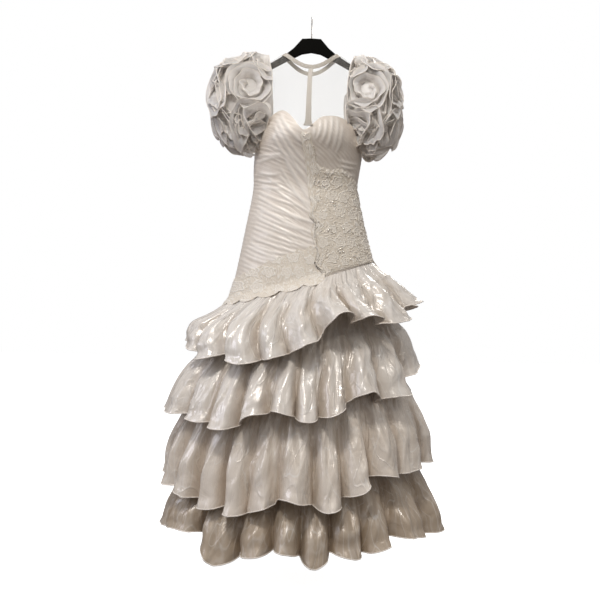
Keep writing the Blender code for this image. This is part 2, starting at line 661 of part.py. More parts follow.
def make_rose(name, side, sizes, parent):
    """A strip of ruffle that stands on the sleeve along a spiral and leans out at its edge."""
    place, station, radius, height, turns, lift = sizes

    def base(a, s):
        return sleeve_point(side, a, s)

    step = 0.5
    per_place = np.linalg.norm(base(place + step, station) - base(place - step, station)) / 2 / step
    per_station = np.linalg.norm(base(place, station + 0.01) - base(place, station - 0.01)) / 0.02
    count = int(ROSE_SAMPLES * turns)
    turn = np.linspace(0, 2 * np.pi * turns, count)
    reach = ROSE_HEART + (radius - ROSE_HEART) * np.linspace(0, 1, count) ** 0.8

    def at(distance, lift):
        a = place + distance * np.cos(turn) / per_place
        s = np.clip(station + distance * np.sin(turn) / per_station, 0.02, 0.99)
        here = base(a, s)
        out = normals(base, a, s)
        away = here - base(0 * a + 180, s)
        out = np.where(((out * away).sum(-1) < 0)[:, None], -out, out)
        return here + out * lift[:, None]

    wave = ROSE_PETAL_WAVE * np.sin(ROSE_PETALS * turn)
    heights = height * (0.8 + 0.2 * np.linspace(0, 1, count))
    chord = reach * 2 * np.pi / ROSE_SAMPLES
    root = at(reach, lift + ROSE_CHORD_LIFT * chord**2)
    middle = at(reach + 0.4 * ROSE_LEAN * heights, heights * 0.5)
    edge = at(reach + ROSE_LEAN * heights + wave, heights)
    points = np.stack([edge, middle, root])
    along = np.gradient(points, axis=1)
    down = np.gradient(points, axis=0)
    outward = unit(np.cross(down, along))
    wall(name, points, outward, ORGANZA_THICK, organza(), parent, inset=-ORGANZA_THICK / 2)


def make_yoke(parent):
    """Sheer net from the neck band to the bodice and the sleeves, open down the centre back."""
    half_gap = 0.003
    for name, front, first, last, count in (
        ("yoke_front", True, 0, 1, YOKE_COLUMNS),
        ("yoke_back_left", False, 0, 0.5 - half_gap, YOKE_COLUMNS // 2 + 1),
        ("yoke_back_right", False, 0.5 + half_gap, 1, YOKE_COLUMNS // 2 + 1),
    ):
        u = np.linspace(first, last, count)[None, :]
        v = yoke_rows()[:, None]
        points = yoke_point(front, u + 0 * v, v + 0 * u)
        across, down = np.gradient(points, axis=1), np.gradient(points, axis=0)
        outward = unit(np.cross(down, across))
        wall(name, points, outward, YOKE_THICK, net(), parent, inset=-YOKE_THICK / 2)


def make_hanger(parent):
    """The flat plastic hanger and its wire hook, turned edge on to the front."""
    right = HANGER_OUTLINE
    outline = [(x, top) for x, top, _ in right[::-1]] + [(-x, top) for x, top, _ in right[1:]]
    outline += [(-x, low) for x, _, low in right[::-1]] + [(x, low) for x, _, low in right[1:]]
    count = len(outline)
    half = HANGER_DEPTH / 2
    points = [(x, y, z) for y in (-half, half) for x, z in outline]
    faces = [tuple(range(count)), tuple(range(2 * count - 1, count - 1, -1))]
    faces += [(k, k + count, (k + 1) % count + count, (k + 1) % count) for k in range(count)]
    made = add_object("hanger", points, faces, black_plastic(), parent)
    bevel = made.modifiers.new("edges", "BEVEL")
    bevel.width = HANGER_BEVEL * MM
    bevel.segments = 1
    bevel.limit_method = "ANGLE"
    bevel.angle_limit = math.radians(60)

    wire = HOOK_WIRE / 2
    centre_z = wire - HOOK_REACH
    bend = np.radians(np.linspace(-28, 196, 19))
    route = [(0, 0, HANGER_OUTLINE[0, 1] + 0.3), (0, 0.4, -52), (0, 3.5, -43), (0, 9.5, -34)]
    route += [(0, HOOK_REACH * math.cos(b), centre_z + HOOK_REACH * math.sin(b)) for b in bend]
    curve = bpy.data.curves.new("hook", "CURVE")
    curve.dimensions = "3D"
    spline = curve.splines.new("POLY")
    spline.points.add(len(route) - 1)
    for point, place in zip(spline.points, route):
        point.co = (*(c * MM for c in place), 1)
    curve.bevel_depth = wire * MM
    curve.bevel_resolution = 2
    curve.use_fill_caps = True
    curve.materials.append(steel_wire())
    hook = bpy.data.objects.new("hook", curve)
    bpy.context.scene.collection.objects.link(hook)
    hook.parent = parent


def make_neck_band(parent):
    """The band that hangs on the hanger's arms, its strip to the neckline and its button."""
    gap_deg = math.degrees(SEAM_GAP / BAND_HALF_WIDTH)
    line, width, outward = band_frame(np.linspace(-180 + gap_deg, 180 - gap_deg, BAND_STEPS))
    points = np.stack([line + width * BAND_TAPE / 2, line - width * BAND_TAPE / 2])
    both = np.stack([outward, outward])
    wall("neck_band", points, both, BAND_THICK, lace(), parent, inset=-BAND_THICK / 2)

    rows = np.clip(yoke_rows(), 0.012, 0.985)
    half = (STRIP_TOP_WIDTH + (STRIP_END_WIDTH - STRIP_TOP_WIDTH) * rows**2) / 2
    middle = yoke_point(True, 0.5 + 0 * rows, rows)
    points = middle[:, None] + half[:, None, None] * np.array([[-1, 0, 0], [0, 0, 0], [1, 0, 0]])
    out = unit(np.cross(np.gradient(middle, axis=0), np.array([1.0, 0, 0])))
    wall("neck_strip", points, np.repeat(out[:, None], 3, 1), BAND_THICK, lace(), parent,
         inset=YOKE_THICK / 2 + STRIP_LIFT)

    work = bmesh.new()
    bmesh.ops.create_uvsphere(work, u_segments=12, v_segments=6, radius=BUTTON_RADIUS * MM)
    bmesh.ops.scale(work, vec=(1, 0.5, 1), verts=work.verts)
    mesh = bpy.data.meshes.new("neck_button")
    work.to_mesh(mesh)
    work.free()
    mesh.shade_smooth()
    mesh.materials.append(pearl())
    button = bpy.data.objects.new("neck_button", mesh)
    back_y = BAND_HALF_DEPTH + BAND_THICK / 2 + BUTTON_RADIUS / 2 + SEAM_GAP
    button.location = (0, back_y * MM, (BAND_TOP_Z - BAND_DROP) * MM)
    bpy.context.scene.collection.objects.link(button)
    button.parent = parent


def main():
    for old in list(bpy.data.objects):
        bpy.data.objects.remove(old)
    dress = bpy.data.objects.new("dress", None)
    bpy.context.scene.collection.objects.link(dress)
    make_hanger(dress)
    make_neck_band(dress)
    make_yoke(dress)
    make_bodice_front(dress)
    make_bodice_back(dress)
    make_lace(dress)
    make_underskirt(dress)
    make_tiers(dress)
    make_sleeve("left", 1, dress)
    make_sleeve("right", -1, dress)


main()
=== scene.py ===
"""The wedding dress on its hanger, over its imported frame.

Ruched satin, corded lace, sheer net, puffs of rolled organza ruffles and four satin flounces.
Tables are in millimetres in the frame's own axes, and MM turns them into Blender's metres. A
bearing is the angle round the body in degrees: 0 is centre front, 90 the +X side seam.
"""

import math

import bmesh
import bpy
import numpy as np
from bpy.props import FloatProperty, FloatVectorProperty, PointerProperty
from bpy.types import Operator, Panel, PropertyGroup
from mathutils import Matrix, Vector


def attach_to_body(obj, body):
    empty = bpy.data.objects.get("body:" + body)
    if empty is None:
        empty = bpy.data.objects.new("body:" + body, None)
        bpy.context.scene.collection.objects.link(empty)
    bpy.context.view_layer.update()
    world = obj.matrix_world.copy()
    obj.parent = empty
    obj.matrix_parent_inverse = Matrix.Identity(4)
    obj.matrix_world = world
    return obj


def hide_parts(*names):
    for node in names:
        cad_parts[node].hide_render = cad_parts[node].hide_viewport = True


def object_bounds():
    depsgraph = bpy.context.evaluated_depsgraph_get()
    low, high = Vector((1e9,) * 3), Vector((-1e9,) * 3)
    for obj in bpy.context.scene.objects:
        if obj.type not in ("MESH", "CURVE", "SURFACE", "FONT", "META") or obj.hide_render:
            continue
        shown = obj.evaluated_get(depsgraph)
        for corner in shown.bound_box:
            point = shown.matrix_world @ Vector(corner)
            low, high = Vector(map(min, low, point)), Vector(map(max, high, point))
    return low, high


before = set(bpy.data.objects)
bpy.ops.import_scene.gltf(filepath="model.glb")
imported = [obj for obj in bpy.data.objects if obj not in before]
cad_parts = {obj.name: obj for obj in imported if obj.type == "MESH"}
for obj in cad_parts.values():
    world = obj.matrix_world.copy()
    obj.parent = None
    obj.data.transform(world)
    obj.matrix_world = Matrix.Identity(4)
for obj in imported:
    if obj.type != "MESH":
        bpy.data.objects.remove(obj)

bl_info = {
    "name": "Wedding dress on a hanger",
    "version": (1, 0),
    "blender": (4, 5, 0),
    "location": "3D View > Sidebar > Dress",
    "description": "Builds the cloth, lace, beads and hanger finishes over the packed frame",
    "category": "Add Mesh",
}

CAD_BOX = [[float(c) for c in corner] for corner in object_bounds()]
MM = 0.001
SEAM_GAP = 0.3
LAY_GAP = 0.9
SIDE_SEAM_GAP_DEG = 0.1
BODICE_THICK = 2.4
SATIN_THICK = 1.2
ORGANZA_THICK = 0.8
LACE_THICK = 1.2

BODICE_RINGS = np.array([
    (-250, 0, 108, 88, 52),
    (-280, 0, 124, 101, 62),
    (-325, 0, 147, 119, 76),
    (-370, -1, 158, 126, 84),
    (-420, -3, 160, 112, 86),
    (-465, -7, 158, 99, 84),
    (-507, -9, 155, 92, 82),
    (-560, -9, 162, 98, 88),
    (-612, -8, 173, 106, 94),
    (-735, -3, 201, 122, 108),
    (-800, -1, 217, 130, 114),
    (-865, 0, 238, 140, 120),
    (-900, 0, 250, 146, 124),
], float)
UNDERSKIRT_RINGS = np.array([
    (-700, -4, 191.5, 117.5, 103.5),
    (-735, -3, 199.5, 120.5, 106.5),
    (-800, -1, 215.5, 128.5, 112.5),
    (-865, 0, 236.0, 138.0, 118.0),
    (-950, 0, 256.0, 154.0, 128.0),
    (-1070, 0, 290.0, 194.0, 154.0),
    (-1180, 0, 316.0, 224.0, 180.0),
    (-1300, 0, 335.0, 245.0, 202.0),
], float)
NECKLINE = np.array([
    (-90, -415), (-70, -362), (-55, -318), (-45, -302), (-37, -299), (-28, -308), (-18, -330),
    (-11, -352), (-7, -361), (-2, -357), (5, -338), (11, -324), (20, -317.5), (30, -315.5),
    (40, -319), (54, -336), (70, -368), (90, -415),
], float)
BACK_EDGE_DIP = 26
CUP_X, CUP_Z, CUP_RADIUS, CUP_BULGE = 72, -352, 48, 9
WAIST_Z, WAIST_RISE, WAIST_HALF = -792, 0.29, 218
RUCHE_SLANT = 75
LACE_FALL = np.array([
    (-4, 0.03, 0.05), (2, 0.05, 0.24), (5, 0.13, 0.34), (9, 0.22, 0.46), (12, 0.28, 0.60),
    (15, 0.29, 0.985), (22, 0.29, 0.985), (30, 0.28, 0.985), (38, 0.27, 0.985),
    (46, 0.26, 0.985), (54, 0.25, 0.985), (62, 0.24, 0.985), (70, 0.23, 0.985),
    (80, 0.22, 0.985), (89.9, 0.21, 0.985),
], float)
TIERS = {
    "flounce_1": {
        "seam_z": WAIST_Z - 1.4, "rise": WAIST_RISE, "seam_half": WAIST_HALF,
        "rings": [(0.3, -24, 264, 180, 158, 8), (0.5, -33, 300, 208, 182, 16),
                  (0.75, -26, 323, 236, 202, 23), (1.0, -11, 336, 252, 216, 28)],
        "folds": [(-82, 1.1), (-64, 0.6), (-49, 1.0), (-29, 1.1), (-12, 0.9), (1, 0.8),
                  (16, 1.3), (34, 1.1), (53, 0.8), (79, 1.1), (100, 0.9), (121, 1.1),
                  (141, 0.9), (160, 1.1), (179, 0.9), (-162, 1.1), (-143, 0.9), (-123, 1.1),
                  (-102, 0.9)],
        "hem": [(-79, -972), (-60, -995), (-50, -1018), (-43, -998), (-33, -1014),
                (-26, -1020), (-14, -1006), (-6, -988), (3, -974), (9, -930), (16, -898),
                (25, -889), (35, -901), (46, -906), (56, -893), (68, -862), (81, -844),
                (100, -862), (125, -912), (150, -958), (180, -985), (-150, -1005),
                (-125, -1000), (-100, -980)],
    },
    "flounce_2": {
        "seam_z": -895, "rise": 0.20, "seam_half": 242,
        "rings": [(0.3, -22, 291, 186, 162, 4), (0.45, -25, 320, 216, 186, 9),
                  (0.7, -32, 346, 254, 216, 20), (1.0, -35, 367, 284, 240, 28)],
        "folds": [(-84, 1.0), (-64, 0.9), (-46, 1.0), (-31, 1.0), (-18, 0.9), (-5, 0.9),
                  (8, 1.0), (20, 0.9), (33, 1.1), (51, 1.0), (76, 1.1), (97, 0.9),
                  (116, 1.0), (135, 1.1), (153, 0.9), (170, 1.1), (-172, 1.0), (-154, 1.1),
                  (-137, 0.9), (-119, 1.1), (-102, 0.9)],
        "hem": [(-88, -1170), (-54, -1176), (-44, -1184), (-33, -1194), (-22, -1190),
                (-15, -1159), (-7, -1138), (3, -1166), (12, -1160), (20, -1147), (25, -1112),
                (33, -1096), (40, -1116), (48, -1110), (57, -1097), (69, -1061), (78, -1032),
                (100, -1040), (130, -1090), (155, -1125), (180, -1145), (-155, -1160),
                (-125, -1172), (-104, -1170)],
    },
    "flounce_3": {
        "seam_z": -1072, "rise": 0.08, "seam_half": 290,
        "rings": [(0.2, -12, 328, 222, 190, 3), (0.4, -14, 350, 240, 208, 8),
                  (0.7, -16, 380, 278, 238, 19), (1.0, -16, 387, 304, 256, 27)],
        "folds": [(-84, 1.1), (-67, 0.9), (-53, 1.0), (-39, 1.1), (-26, 1.1), (-13, 0.8),
                  (0, 1.0), (12, 0.9), (24, 1.1), (38, 1.0), (55, 1.1), (80, 1.1),
                  (101, 0.9), (119, 1.1), (137, 0.9), (155, 1.1), (172, 0.9), (-170, 1.1),
                  (-153, 0.9), (-136, 1.1), (-119, 0.9), (-102, 1.0)],
        "hem": [(-84, -1354), (-65, -1377), (-50, -1388), (-42, -1416), (-34, -1406),
                (-26, -1422), (-17, -1412), (-10, -1385), (-2, -1366), (6, -1395),
                (18, -1386), (24, -1354), (31, -1312), (43, -1328), (55, -1312), (71, -1303),
                (84, -1314), (110, -1325), (140, -1350), (170, -1365), (-160, -1372),
                (-130, -1375), (-105, -1362)],
    },
    "flounce_4": {
        "seam_z": -1282, "rise": 0.03, "seam_half": 334,
        "rings": [(0.25, -2, 346, 254, 209, 1), (0.5, 0, 374, 260, 226, 7),
                  (0.75, -1, 394, 300, 248, 20), (1.0, -2, 400, 320, 264, 30)],
        "folds": [(-78, 1.0), (-55, 1.1), (-33, 1.2), (-18, 0.8), (-6, 0.7), (5, 1.2),
                  (18, 0.9), (30, 1.1), (46, 1.0), (74, 1.1), (97, 0.9), (117, 1.1),
                  (137, 0.9), (157, 1.1), (177, 0.9), (-164, 1.1), (-145, 0.9), (-125, 1.1),
                  (-102, 1.0)],
        "hem": [(-88, -1506), (-70, -1500), (-50, -1486), (-42, -1496), (-37, -1520),
                (-32, -1564), (-27, -1535), (-21, -1519), (-16, -1524), (-9, -1500),
                (-2, -1515), (5, -1546), (11, -1514), (17, -1513), (22, -1526), (28, -1506),
                (34, -1495), (39, -1478), (48, -1488), (66, -1496), (84, -1500),
                (105, -1505), (130, -1510), (155, -1514), (180, -1510), (-155, -1516),
                (-130, -1512), (-105, -1508)],
    },
}
UNDERSKIRT_END_Z = -1296
SLEEVE_SECTIONS = np.array([
    (0.0, 128, -140, 163, -382, 66),
    (0.25, 182, -138, 168, -398, 88),
    (0.5, 234, -178, 166, -404, 94),
    (0.75, 252, -280, 164, -406, 88),
    (0.9, 246, -356, 163, -407, 72),
    (1.0, 226, -398, 163, -408, 54),
], float)
SLEEVE_OFF_BODICE = 2.6
YOKE_OFF_SLEEVE, YOKE_OFF_BODICE, YOKE_OFF_BAND = 1.0, 2.9, 2.6
YOKE_OVER_ARM = 4.5
SLEEVE_START_X = 128
SLEEVE_SPREAD = {1: 1.02, -1: 1.3}
SLEEVE_RAISE = {1: 0, -1: 14}
ARMHOLE_REACH = 32
ROSES = {
    "front_top": (-74, 0.24, 64, 27, 2.6, 0.1),
    "front_low": (-84, 0.82, 46, 24, 2.1, 0.8),
    "outer": (-4, 0.58, 58, 25, 2.4, -0.2),
    "back": (80, 0.42, 72, 26, 2.7, 0.9),
}
ROSE_HEART = 12
BAND_HALF_WIDTH, BAND_HALF_DEPTH = 83, 40
BAND_TOP_Z, BAND_DROP = -112.6, 44.5
BAND_TAPE, BAND_THICK = 12, 1.8
BAND_ARCH = 2.6
ARM_SLOPE_DEG = 31
STRIP_TOP_WIDTH, STRIP_END_WIDTH = 11, 17
BUTTON_RADIUS = 5.5
CREST_WIDTH = 0.10

# Finer folds of each flounce: bearing, first and last share of its height, half width in degrees,
# height (a trough is below zero), drift in degrees from top to hem.
FINER_FOLDS = {
    "flounce_1": [
        (-79, 0.1, 1.2, 5, -7, -6), (-70, 0.0, 1.2, 2.5, 5, -3), (-60, 0.0, 1.2, 2, 5, 2),
        (-50, 0.05, 1.2, 2.5, 6, -6), (-41, 0.3, 0.8, 3, -5, 3), (-36, 0.0, 1.2, 4, 6, -4),
        (-31, 0.45, 0.75, 5, -4, 9), (-22, 0.1, 1.2, 2.2, -6, 5), (-15, 0.0, 1.2, 2.4, 6, 3),
        (-7, 0.0, 1.2, 2.2, 6, 2), (-3, 0.2, 1.2, 2.6, -5, 1), (4, 0.0, 0.9, 2.4, 5, -3),
        (10, 0.0, 0.55, 2.4, -6, 0), (16, 0.1, 0.7, 3, 5, -4), (21, 0.35, 0.75, 4, -6, 8),
        (26, 0.0, 1.2, 2.4, 5, 5), (33, 0.05, 0.8, 2.2, -6, 4), (38, 0.0, 1.2, 2.0, 5, 5),
        (44, 0.0, 1.2, 2.0, -6, 6), (49, 0.05, 1.2, 1.9, 5, 7), (55, 0.0, 1.2, 2.2, -6, 6),
        (60, 0.0, 0.85, 2.0, 5, 6), (67, 0.1, 1.2, 2.6, -5, 5), (75, 0.0, 1.2, 2.6, 5, 4),
    ],
    "flounce_2": [
        (-82, 0.1, 1.2, 3, 6, -4), (-74, 0.2, 1.2, 5, -7, -3), (-66, 0.1, 0.9, 2.5, 5, -4),
        (-57, 0.15, 0.85, 5, -6, -8), (-50, 0.0, 1.2, 2.2, 6, -5), (-42, 0.2, 1.2, 3.4, -7, -4),
        (-37, 0.0, 1.2, 2.0, 6, -3), (-28, 0.0, 1.2, 1.8, 5, 0), (-24, 0.1, 1.2, 2.2, -5, 0),
        (-12, 0.0, 0.9, 1.8, 6, 3), (-8, 0.2, 0.95, 3.5, -6, 2), (2, 0.0, 1.2, 1.8, 5, 3),
        (7, 0.15, 0.85, 2.5, -6, -1), (13, 0.0, 1.2, 1.8, 6, -2), (18, 0.1, 0.9, 2, -5, 1),
        (25, 0.0, 1.2, 1.8, 5, 2), (30, 0.45, 0.8, 5, -6, 9), (36, 0.35, 1.2, 4, 6, -7),
        (45, 0.1, 1.2, 2, -6, 4), (50, 0.1, 0.85, 2.2, 6, 4), (57, 0.2, 1.2, 2.5, -6, 3),
        (64, 0.05, 0.95, 2.4, 6, 5), (72, 0.1, 1.2, 3.4, -5, 2), (82, 0.1, 1.2, 3, 5, 2),
    ],
    "flounce_3": [
        (-80, 0.2, 1.2, 3, 6, -3), (-74, 0.1, 0.9, 2.2, -6, -3), (-62, 0.0, 1.2, 2, 6, -5),
        (-57, 0.2, 1.2, 3.6, -8, -4), (-47, 0.0, 1.2, 1.8, 6, -3), (-34, 0.1, 1.2, 3.6, -8, 2),
        (-30, 0.0, 0.9, 1.8, 7, 0), (-22, 0.1, 1.2, 2.2, 6, 2), (-18, 0.3, 1.2, 2.6, -6, 2),
        (-8, 0.25, 0.8, 3, 6, 3), (-5, 0.1, 1.2, 1.8, 5, 5), (3, 0.0, 1.2, 1.6, 6, 2),
        (8, 0.0, 1.2, 1.8, 6, 3), (15, 0.1, 0.8, 4.5, -6, 6), (20, 0.4, 1.2, 3.5, 6, -5),
        (28, 0.0, 1.2, 1.8, 5, 5), (33, 0.0, 1.2, 1.8, 6, 5), (43, 0.4, 1.2, 2.8, 6, 3),
        (48, 0.1, 0.5, 2, 5, 2), (52, 0.1, 1.2, 3, -6, 2), (62, 0.1, 0.8, 2, 6, 3),
        (68, 0.1, 1.2, 1.8, 6, 3), (76, 0.2, 0.85, 2.8, 6, 3),
    ],
    "flounce_4": [
        (-74, 0.1, 0.9, 3.4, -7, -4), (-66, 0.2, 1.2, 5, 6, 6), (-48, 0.1, 1.2, 3, -6, 8),
        (-41, 0.0, 1.2, 1.8, 5, 2), (-36, 0.0, 1.2, 1.8, 6, 0), (-28, 0.3, 1.2, 3, -6, 0),
        (-22, 0.0, 1.2, 1.6, 6, -2), (-12, 0.2, 1.2, 3.4, -6, 1), (-2, 0.0, 1.2, 1.6, 5, 0),
        (8, 0.0, 1.2, 1.6, 5, 1), (15, 0.0, 1.2, 1.5, 5, 2), (20, 0.0, 1.2, 1.5, 6, 2),
        (27, 0.2, 0.8, 4, 7, -4), (35, 0.3, 0.85, 4, -6, 5), (42, 0.0, 1.2, 1.8, 6, 2),
        (52, 0.1, 0.9, 2.2, 6, 8), (60, 0.2, 0.9, 4, -5, 4), (68, 0.4, 1.2, 2.5, 6, 3),
        (84, 0.2, 1.2, 4, -5, 0),
    ],
}
# How far a crest's hem lifts above its troughs, by bearing.
HEM_LIFT = {
    "flounce_1": [(-90, 3), (-60, -4), (-30, -5), (-12, -3), (2, 13), (20, 15), (33, 13), (48, -3),
                  (70, 3), (90, 3)],
    "flounce_2": [(-90, 2), (-50, -4), (-24, -3), (-15, 10), (-6, 4), (8, -3), (30, 11), (42, 10),
                  (55, -3), (90, 2)],
    "flounce_3": [(-90, 3), (-62, -3), (-30, -4), (-10, 8), (2, -4), (16, -3), (34, 6), (50, -3),
                  (90, 2)],
    "flounce_4": [(-90, 3), (-50, 3), (-32, -6), (-10, 3), (5, -5), (28, -3), (50, 4), (90, 3)],
}
# Warmth, gloss and brightness of each flounce's satin; the warmth and brightness are painted shade.
# The painted shade grows down the skirt: the lower flounces are warmer, and the lowest is darker.
FLOUNCE_PAINTED_SHADE_AND_GLOSS = {
    "flounce_1": (0.1, 1.0, 1.0), "flounce_2": (0.3, 1.0, 1.0), "flounce_3": (0.55, 0.9, 1.02),
    "flounce_4": (1.0, 0.7, 0.64),
}
GATHERS = {"flounce_1": 3.0, "flounce_2": 2.2, "flounce_3": 1.8, "flounce_4": 1.6}

# Ruched pleats of the front: x and z where each starts and ends, sag, half width, height.
RUCHES = [
    (-151, -424, -72, -426, 3, 5, 2.2), (-151, -445, -68, -435, -4, 6, 2),
    (-150, -473, -83, -482, 5, 5, 2.4), (-150, -497, -78, -505, 4, 5, 2.2),
    (-149, -514, -70, -524, 3, 5, 1.8), (-111, -402, -73, -412, 8, 5, 1.8),
    (-149, -527, -27, -576, 5, 4.5, 1.8), (-151, -541, 36, -629, 10, 5, 2.2),
    (-152, -558, 5, -620, 7, 4, 1.6), (-153, -571, 40, -663, 8, 5, 2.2),
    (-155, -588, -10, -647, 8, 4.5, 1.8), (-156, -602, 45, -688, 8, 5, 2.2),
    (-158, -618, -33, -665, 5, 4, 1.6), (-161, -633, 41, -705, 7, 5, 2.2),
    (-164, -648, -13, -699, 6, 4.5, 1.7), (-166, -664, 38, -725, 7, 5, 2.2),
    (-171, -679, -47, -715, 10, 5, 2.2), (-178, -691, 23, -746, 11, 5, 2.4),
    (-182, -703, -77, -735, 8, 4.5, 2), (-183, -718, 0, -760, 10, 5, 2.2),
    (-187, -733, -77, -764, 8, 4.5, 1.8), (-188, -747, -26, -782, 8, 5, 2.2),
    (-189, -761, -92, -783, 6, 4.5, 1.8), (-190, -776, -68, -801, 5, 5, 2),
    (-121, -490, 19, -575, 4, 4, 1.8), (-105, -520, 43, -613, 5, 4, 1.8),
    (-134, -583, -49, -619, 3, 3.5, 1.4), (-80, -620, 40, -675, 4, 3.5, 1.4),
    (-67, -662, 37, -698, 3, 3.5, 1.4), (-86, -310, -15, -400, 10, 5.5, 2.6),
    (-97, -319, 1, -457, 13, 6, 2.8), (-105, -340, 17, -487, 14, 5.5, 2.6),
    (-110, -367, 33, -518, 15, 5.5, 2.4), (-85, -370, 38, -548, 11, 5, 2.4),
    (-72, -435, 46, -575, 9, 5, 2.2), (-64, -447, 50, -605, 8, 5, 2.2),
    (-83, -462, 51, -636, 8, 4.5, 2), (-87, -484, 35, -598, 6, 4.5, 1.8),
    (14, -355, 9, -388, -2, 4.5, 2), (31, -333, 17, -391, -5, 5, 2.4),
    (46, -325, 34, -399, -5, 5, 2.4), (63, -319, 50, -410, -4, 5, 2.4),
    (79, -321, 66, -417, -5, 5, 2.2), (93, -340, 77, -424, -4, 5, 2.2),
    (83, -440, 145, -444, 3, 5, 2.2), (84, -455, 142, -458, 2, 5, 2.2),
    (84, -474, 141, -478, 3, 5, 2.4), (102, -498, 140, -502, 2, 5, 1.8),
]
FINE_RUCHE_STEP = 6.5
FINE_RUCHE_DEPTH = 0.52

# Clusters of crystal on the lace of the front: x, z, spread, count.
CRYSTALS = [
    (26, -507, 14, 9), (40, -516, 12, 7), (52, -480, 10, 5), (88, -700, 16, 9), (62, -640, 12, 6),
    (-6, -846, 14, 8), (120, -645, 14, 7), (140, -720, 16, 7), (72, -560, 12, 6), (28, -820, 12, 6),
]

# Ruffles that fill a sleeve between its roses: place round the tube, station, first and last
# radius, angle where it starts, sweep in turns, height, lift off the sleeve.
FILLERS = {
    1: [
        (-124, 0.13, 9, 40, 40, 1.9, 44, 0.5), (-112, 0.40, 9, 38, 90, 1.8, 30, 0.5),
        (-46, 0.62, 9, 44, 20, 2.0, 28, 0.5), (-42, 0.86, 9, 38, 200, 1.8, 24, 0.5),
        (-134, 0.16, 8, 32, 300, 1.6, 36, 0.5), (-36, 0.05, 8, 36, 120, 1.7, 28, 0.5),
        (-20, 0.34, 9, 42, 10, 1.8, 28, 0.5), (-128, 0.72, 8, 30, 240, 1.6, 22, 0.5),
        (-8, 0.90, 8, 36, 80, 1.6, 20, 0.5), (24, 0.14, 9, 40, 30, 1.8, 26, 0.5),
        (34, 0.78, 9, 44, 240, 1.9, 26, 0.5), (118, 0.16, 9, 38, 60, 1.7, 24, 0.5),
        (116, 0.66, 8, 38, 10, 1.7, 20, 0.5), (78, 0.86, 9, 40, 150, 1.8, 22, 0.5),
        (34, 0.40, 8, 34, 200, 1.6, 26, 0.5),
    ],
    -1: [
        (-126, 0.14, 9, 40, 300, 1.9, 44, 0.5), (-110, 0.46, 9, 40, 10, 1.9, 32, 0.5),
        (-44, 0.64, 9, 46, 250, 2.0, 32, 0.5), (-44, 0.87, 9, 38, 70, 1.8, 24, 0.5),
        (-134, 0.20, 8, 32, 150, 1.6, 34, 0.5), (-38, 0.05, 8, 36, 10, 1.7, 28, 0.5),
        (-18, 0.32, 9, 44, 200, 1.9, 30, 0.5), (-126, 0.74, 8, 30, 60, 1.6, 24, 0.5),
        (-6, 0.90, 8, 38, 300, 1.6, 22, 0.5), (26, 0.15, 9, 40, 110, 1.8, 26, 0.5),
        (36, 0.80, 9, 44, 20, 1.9, 26, 0.5), (116, 0.18, 9, 38, 260, 1.7, 24, 0.5),
        (118, 0.64, 8, 38, 90, 1.7, 20, 0.5), (80, 0.85, 9, 40, 10, 1.8, 22, 0.5),
        (36, 0.42, 8, 34, 300, 1.6, 26, 0.5),
    ],
}

# Ruffles sewn down in waves round each sleeve: station, first and last place, waves, swing, height.
WINDINGS = {
    1: [
        (0.10, -160, 160, 6, 13, 15), (0.28, -150, 150, 6, 16, 16), (0.46, -148, 148, 6, 17, 16),
        (0.64, -150, 150, 5, 16, 16), (0.80, -150, 150, 5, 13, 14),
    ],
    -1: [
        (0.10, -160, 160, 6, 13, 15), (0.28, -150, 150, 6, 16, 16), (0.46, -148, 148, 6, 17, 17),
        (0.64, -150, 150, 5, 16, 17), (0.80, -150, 150, 5, 13, 15),
    ],
}

UNDERSKIRT_EASE = 2.0


def smooth(x, known_x, known_y):
    """A smooth curve through the rows of a table. known_x may run either way."""
    known_x = np.asarray(known_x, float)
    known_y = np.asarray(known_y, float)
    if known_x[0] > known_x[-1]:
        known_x, known_y = known_x[::-1], known_y[::-1]
    x = np.clip(np.asarray(x, float), known_x[0], known_x[-1])
    slope = np.gradient(known_y, known_x)
    k = np.clip(np.searchsorted(known_x, x) - 1, 0, len(known_x) - 2)
    span = known_x[k + 1] - known_x[k]
    t = (x - known_x[k]) / span
    return ((2 * t**3 - 3 * t**2 + 1) * known_y[k] + (t**3 - 2 * t**2 + t) * span * slope[k]
            + (3 * t**2 - 2 * t**3) * known_y[k + 1] + (t**3 - t**2) * span * slope[k + 1])


def unit(vectors):
    return vectors / np.maximum(np.linalg.norm(vectors, axis=-1, keepdims=True), 1e-9)


def on_oval(bearing, half_width, front, back, centre_x=0.0):
    """x and y on an oval whose front and back halves have their own depths."""
    turn = np.radians(bearing)
    depth = np.where(np.cos(turn) > 0, front, back)
    return centre_x + half_width * np.sin(turn), -depth * np.cos(turn)


def ring_point(rings, bearing, z):
    centre, half_width, front, back = (smooth(z, rings[:, 0], rings[:, k]) for k in range(1, 5))
    x, y = on_oval(bearing, half_width, front, back, centre)
    return np.stack([x, y, z + 0 * x], -1)


def waist_z(bearing):
    return WAIST_Z + WAIST_RISE * WAIST_HALF * np.sin(np.radians(bearing))


def bodice_front(bearing, share):
    """The front panel: share runs from 0 at the neckline to 1 at the dropped waist."""
    top, end = smooth(bearing, NECKLINE[:, 0], NECKLINE[:, 1]), waist_z(bearing)
    slant = RUCHE_SLANT * np.sin(np.radians(bearing)) * 4 * share * (1 - share)
    points = ring_point(BODICE_RINGS, bearing, top + (end - top) * share - slant)
    for side in (-1, 1):
        far = ((points[..., 0] - side * CUP_X) ** 2 + (points[..., 2] - CUP_Z) ** 2)
        points[..., 1] -= CUP_BULGE * np.exp(-far / (2 * CUP_RADIUS**2))
    return points


def bodice_back(bearing, share):
    """The back panels: bearing runs from 90 to 270."""
    end = waist_z(bearing) + 0 * share
    top = NECKLINE[-1, 1] + BACK_EDGE_DIP * np.cos(np.radians(bearing)) + 0 * share
    return ring_point(BODICE_RINGS, bearing, top + (end - top) * share)


